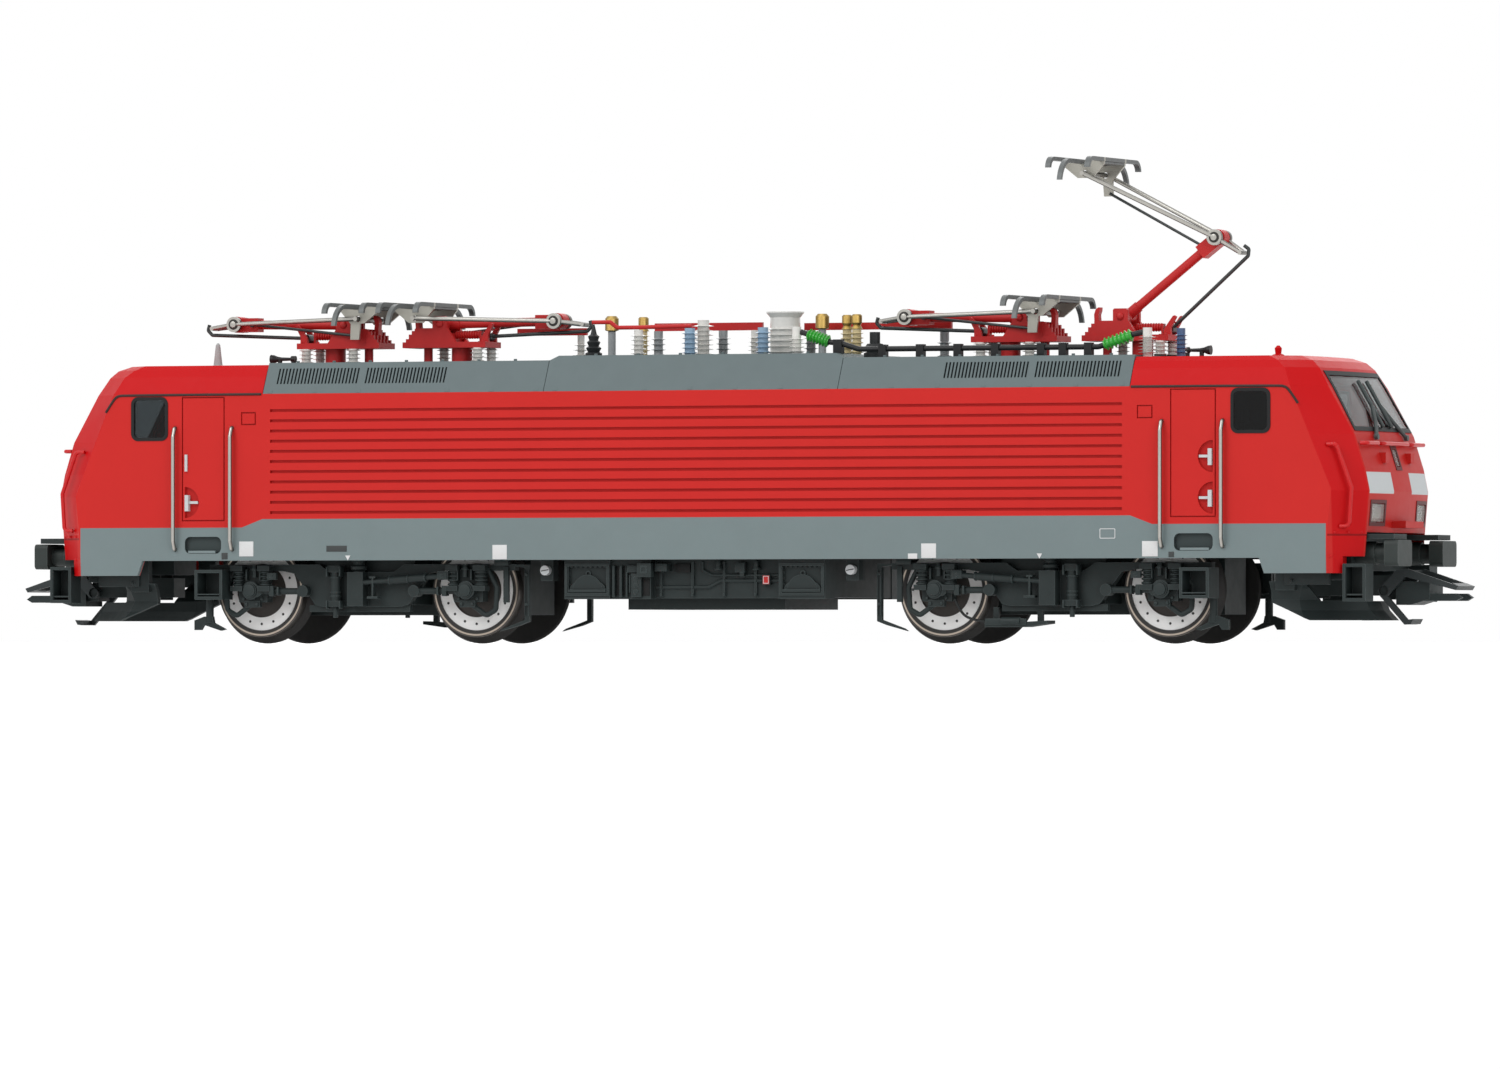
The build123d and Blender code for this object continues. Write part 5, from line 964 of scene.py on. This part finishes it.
class FitUnderfloorDetails(bpy.types.Operator):
    """Fits lids, brackets, valves and small boxes on the row of boxes under the floor"""
    bl_idname = "locomotive.fit_underfloor_details"
    bl_label = "Fit the underfloor details"

    def execute(self, context):
        c = colours()
        # The trim is a tenth lighter than the frame grey, a painted highlight on the parts that stand out
        plastic = frame_plastic("underfloor_trim_painted_highlight", [part * 1.1 for part in c.frame_grey], 0.45)
        parts = Shape()
        for middle in (-17.7, 17.7):
            parts.frame((middle, -15.45, 8.75), (7.3, 4.9, 0.1), (6.5, 4.1, 0.08), -0.22)
            parts.frame((middle, -14.9, 9.7), (0.9, 0.9, 0.441), (0.5, 0.5, 0.245), -0.22)
            parts.block((middle, -15.3, 7.05), (6.3, 1.0, 0.42), 0.08)
            parts.sheet([(middle + u, -14.8, 7.2 + v) for u, v in arch(3.0, 1.6)], (0, -0.55, 0))
            for along in (-2.8, -2.0, -1.2, -0.4, 0.4, 1.2, 2.0, 2.8):
                parts.peg((middle + along, -15.0, 10.8), 0.26, 0.3, "Y", 12, 0.04)
            for z in (8.0, 8.9, 9.8):
                for along in (-3.2, 3.2):
                    parts.peg((middle + along, -15.0, z), 0.26, 0.3, "Y", 12, 0.04)
        parts.blocks((
            (-13.3, -15.3, 8.5, (0.4, 0.8, 4.8)), (-12.1, -15.3, 8.5, (0.4, 0.8, 4.8)),
            (-11.2, -15.2, 8.5, (0.3, 0.6, 4.8)), (-9.6, -15.2, 7.9, (1.7, 0.6, 3.6)),
            (-8.0, -15.6, 10.2, (2.3, 1.4, 2.1)), (-10.3, -15.2, 10.4, (2.0, 0.6, 1.1)),
            (-5.6, -14.4, 10.6, (2.0, 2.0, 1.2)), (7.1, -14.0, 10.6, (1.6, 1.2, 1.5)),
            (7.4, -14.0, 9.6, (0.7, 1.0, 0.8)), (11.3, -13.8, 8.7, (1.3, 0.8, 1.6))), 0.08)
        for z in (6.9, 7.9, 8.9):
            parts.peg((-9.6, -15.55, z), 0.42, 0.25, "Y", 16, 0.06)
        parts.peg((-10.7, -15.3, 8.1), 0.18, 2.6, "Z", 10, 0.03)
        parts.frame((-8.0, -16.28, 10.3), (1.1, 1.1, 0.08), (0.7, 0.7, 0.05), -0.14)
        for x in (3.4, 9.65):
            parts.peg((x, -14.1, 11.0), 0.42, 1.3, "Z", 14, 0.05)
            parts.peg((x, -14.1, 10.35), 0.62, 0.35, "Z", 14, 0.08)
        for x in (-6.2, -1.0, 4.2, 9.4):
            for z in (7.6 if x < 1 else 8.6, 6.5):
                parts.peg((x, -13.85, z), 0.2, 0.2, "Y", 8, 0.03)
        parts.mirrored(("turn",))
        parts.piece("underfloor_details", "locomotive", plastic)
        # Black sheets as painted shade, in the recesses between ribs and boxes and in the slanted slits at
        # the ends
        dark = Shape()
        dark.blocks((
            (-11.65, -15.02, 8.6, (0.6, 0.12, 4.4)), (-8.1, -15.02, 7.6, (1.1, 0.12, 2.6)),
            (-2.6, -13.6, 10.5, (2.4, 0.5, 1.3)), (-12.7, -15.02, 8.6, (0.7, 0.12, 4.4))), 0.03)
        dark.mirrored(("turn",))
        for x in (-25.2, 25.2):
            for side in (-1, 1):
                turn = Matrix.Rotation(math.radians(10 * side), 4, "Y")
                dark.block((x, side * 14.6, 10.2), (1.3, 0.08, 0.13), 0.02, turn)
        black = enamel("recess_painted_shade", (0.006, 0.007, 0.007), 0.6)
        dark.piece("underfloor_recess_shade", "locomotive", black)
        sign = Shape()
        sign.block((11.3, -14.22, 8.7), (1.05, 0.1, 1.3), 0.02)
        sign.mirrored(("turn",))
        sign.piece("red_plates", "locomotive", plate_finish("plate_red", (0.55, 0.03, 0.03)))
        edge = Shape()
        edge.frame((11.3, -14.25, 8.7), (0.9, 1.15, 0.05), (0.74, 0.99, 0.04), -0.05)
        edge.mirrored(("turn",))
        edge.piece("red_plate_edges", "locomotive", plate_finish("plate_edge", c.plate_white))
        return {"FINISHED"}


class FitPloughDetails(bpy.types.Operator):
    """Fits the covers over the ploughs and the steps in the corner boxes"""
    bl_idname = "locomotive.fit_plough_details"
    bl_label = "Fit the plough details"

    def execute(self, context):
        c = colours()
        parts = Shape()
        parts.blocks(((98.0, -12.5, 9.2, (7.0, 1.2, 2.8)), (102.2, -8.5, 9.3, (5.0, 3.0, 1.6))), 0.1)
        parts.frame((106.6, -15.98, 8.1), (3.6, 5.6, 0.12), (2.8, 4.8, 0.08), -0.14)
        parts.block((106.6, -14.4, 6.3), (2.8, 3.0, 0.25), 0.05)
        for x, z in ((103.6, 10.4), (95.6, 8.4)):
            parts.peg((x, -13.2, z), 0.3, 0.5, "Y", 6, 0.05)
        parts.mirrored(("x", "y"))
        plastic = frame_plastic("plough_trim", c.frame_grey, 0.45)
        parts.piece("plough_details", "locomotive", plastic)
        return {"FINISHED"}


class FitKneeRings(bpy.types.Operator):
    """Fits the ring and nut on each knee of the current collectors"""
    bl_idname = "locomotive.fit_knee_rings"
    bl_label = "Fit the knee rings"

    def execute(self, context):
        c = colours()
        steel = drawn_metal("knee_steel", c.wire_silver)
        # A dark ring as painted shade in the groove round each knee
        groove_shade = enamel("knee_groove", (0.035, 0.033, 0.03), 0.5)
        folded, raised = (19.0, 0.27), (14.93, 11.75)
        for number, x, way in COLLECTORS:
            along, up = raised if number == 4 else folded
            rings = Shape()
            nuts = Shape()
            rings.peg((x + way * along, -KNEE_FACE, PIVOT_HEIGHT + up), 0.82, 0.1, "Y", 24, 0.02)
            nuts.peg((x + way * along, -KNEE_FACE - 0.05, PIVOT_HEIGHT + up), 0.5, 0.3, "Y", 20, 0.06)
            rings.mirrored(("y",))
            nuts.mirrored(("y",))
            rings.piece(f"collector_{number}_knee_grooves", f"p{number}_upper_arm", groove_shade)
            nuts.piece(f"collector_{number}_knee_pins", f"p{number}_upper_arm", steel)
        return {"FINISHED"}


class BuildStage(bpy.types.Operator):
    """Makes the plain floor, the soft light and the camera"""
    bl_idname = "locomotive.build_stage"
    bl_label = "Build the stage"

    def execute(self, context):
        stage = context.scene.locomotive_stage
        base = bmesh.new()
        bmesh.ops.create_grid(base, x_segments=1, y_segments=1, size=6.0)
        mesh = bpy.data.meshes.new("floor")
        base.to_mesh(mesh)
        base.free()
        floor = bpy.data.objects.new("floor", mesh)
        context.scene.collection.objects.link(floor)
        mesh.materials.append(floor_paint())
        lamps = (
            ("key_lamp", (-0.55, -1.10, 0.95), 0.8, stage.lamp_power),
            ("fill_lamp", (0.95, -0.75, 0.45), 0.7, stage.lamp_power * 0.35),
            ("top_lamp", (0.0, 0.15, 1.2), 1.0, stage.lamp_power * 0.38),
            ("rear_lamp", (-0.3, 1.1, 0.7), 0.8, stage.lamp_power * 0.35),
        )
        target = Vector((0.0, 0.0, 0.03))
        for name, place, size, power in lamps:
            lamp = bpy.data.lights.new(name, "AREA")
            lamp.size = size
            lamp.energy = power
            thing = bpy.data.objects.new(name, lamp)
            thing.location = place
            thing.rotation_mode = "QUATERNION"
            thing.rotation_quaternion = (target - Vector(place)).to_track_quat("-Z", "Y")
            context.scene.collection.objects.link(thing)
        world = bpy.data.worlds.new("pale_sky")
        world.use_nodes = True
        tree = world.node_tree
        sky = tree.nodes["Background"]
        sky.inputs["Color"].default_value = (1.0, 1.0, 1.0, 1.0)
        rays = tree.nodes.new("ShaderNodeLightPath")
        seen = rays.outputs["Is Camera Ray"]
        for name in ("Is Transmission Ray", "Is Glossy Ray"):
            either = tree.nodes.new("ShaderNodeMath")
            either.operation = "MAXIMUM"
            tree.links.new(seen, either.inputs[0])
            tree.links.new(rays.outputs[name], either.inputs[1])
            seen = either.outputs[0]
        spread = tree.nodes.new("ShaderNodeMapRange")
        spread.inputs["To Min"].default_value = stage.sky_strength
        spread.inputs["To Max"].default_value = 1.0
        tree.links.new(seen, spread.inputs["Value"])
        tree.links.new(spread.outputs[0], sky.inputs["Strength"])
        context.scene.world = world
        camera = bpy.data.cameras.new("camera")
        camera.sensor_width = 36.0
        camera.lens = CAMERA_LENS
        camera.shift_y = CAMERA_SHIFT
        camera.clip_start = 0.001
        camera.clip_end = 30.0
        thing = bpy.data.objects.new("camera", camera)
        thing.location = CAMERA_PLACE
        thing.rotation_euler = (math.pi / 2, 0.0, CAMERA_TURN)
        context.scene.collection.objects.link(thing)
        context.scene.camera = thing
        context.scene.view_settings.view_transform = "Standard"
        return {"FINISHED"}


OPERATORS = (
    BuildStage, PaintBodywork, PaintRunningGear, FinishRoof, FitWindowFrames, FitBodyTrim, FitPlates,
    FitCabSeats, FitRoofBolts, FitBogieDetails, FitUnderfloorDetails, FitPloughDetails, FitKneeRings)


class LocomotivePanel(bpy.types.Panel):
    """Lists the steps that dress the locomotive"""
    bl_idname = "VIEW3D_PT_locomotive"
    bl_label = "Locomotive"
    bl_space_type = "VIEW_3D"
    bl_region_type = "UI"
    bl_category = "Locomotive"

    def draw(self, context):
        for operator in OPERATORS:
            self.layout.operator(operator.bl_idname)


SETTINGS = (
    ("locomotive_colours", LocomotiveColours),
    ("locomotive_sizes", LocomotiveSizes),
    ("locomotive_stage", StageSettings),
)


def register():
    for name, group in SETTINGS:
        bpy.utils.register_class(group)
        setattr(bpy.types.Scene, name, bpy.props.PointerProperty(type=group))
    for operator in OPERATORS:
        bpy.utils.register_class(operator)
    bpy.utils.register_class(LocomotivePanel)


def unregister():
    bpy.utils.unregister_class(LocomotivePanel)
    for operator in reversed(OPERATORS):
        bpy.utils.unregister_class(operator)
    for name, group in reversed(SETTINGS):
        delattr(bpy.types.Scene, name)
        bpy.utils.unregister_class(group)


def main():
    register()
    bpy.ops.locomotive.build_stage()
    bpy.ops.locomotive.paint_bodywork()
    bpy.ops.locomotive.paint_running_gear()
    bpy.ops.locomotive.finish_roof()
    bpy.ops.locomotive.fit_window_frames()
    bpy.ops.locomotive.fit_body_trim()
    bpy.ops.locomotive.fit_plates()
    bpy.ops.locomotive.fit_cab_seats()
    bpy.ops.locomotive.fit_roof_bolts()
    bpy.ops.locomotive.fit_bogie_details()
    bpy.ops.locomotive.fit_underfloor_details()
    bpy.ops.locomotive.fit_plough_details()
    bpy.ops.locomotive.fit_knee_rings()


if __name__ == "__main__":
    main()
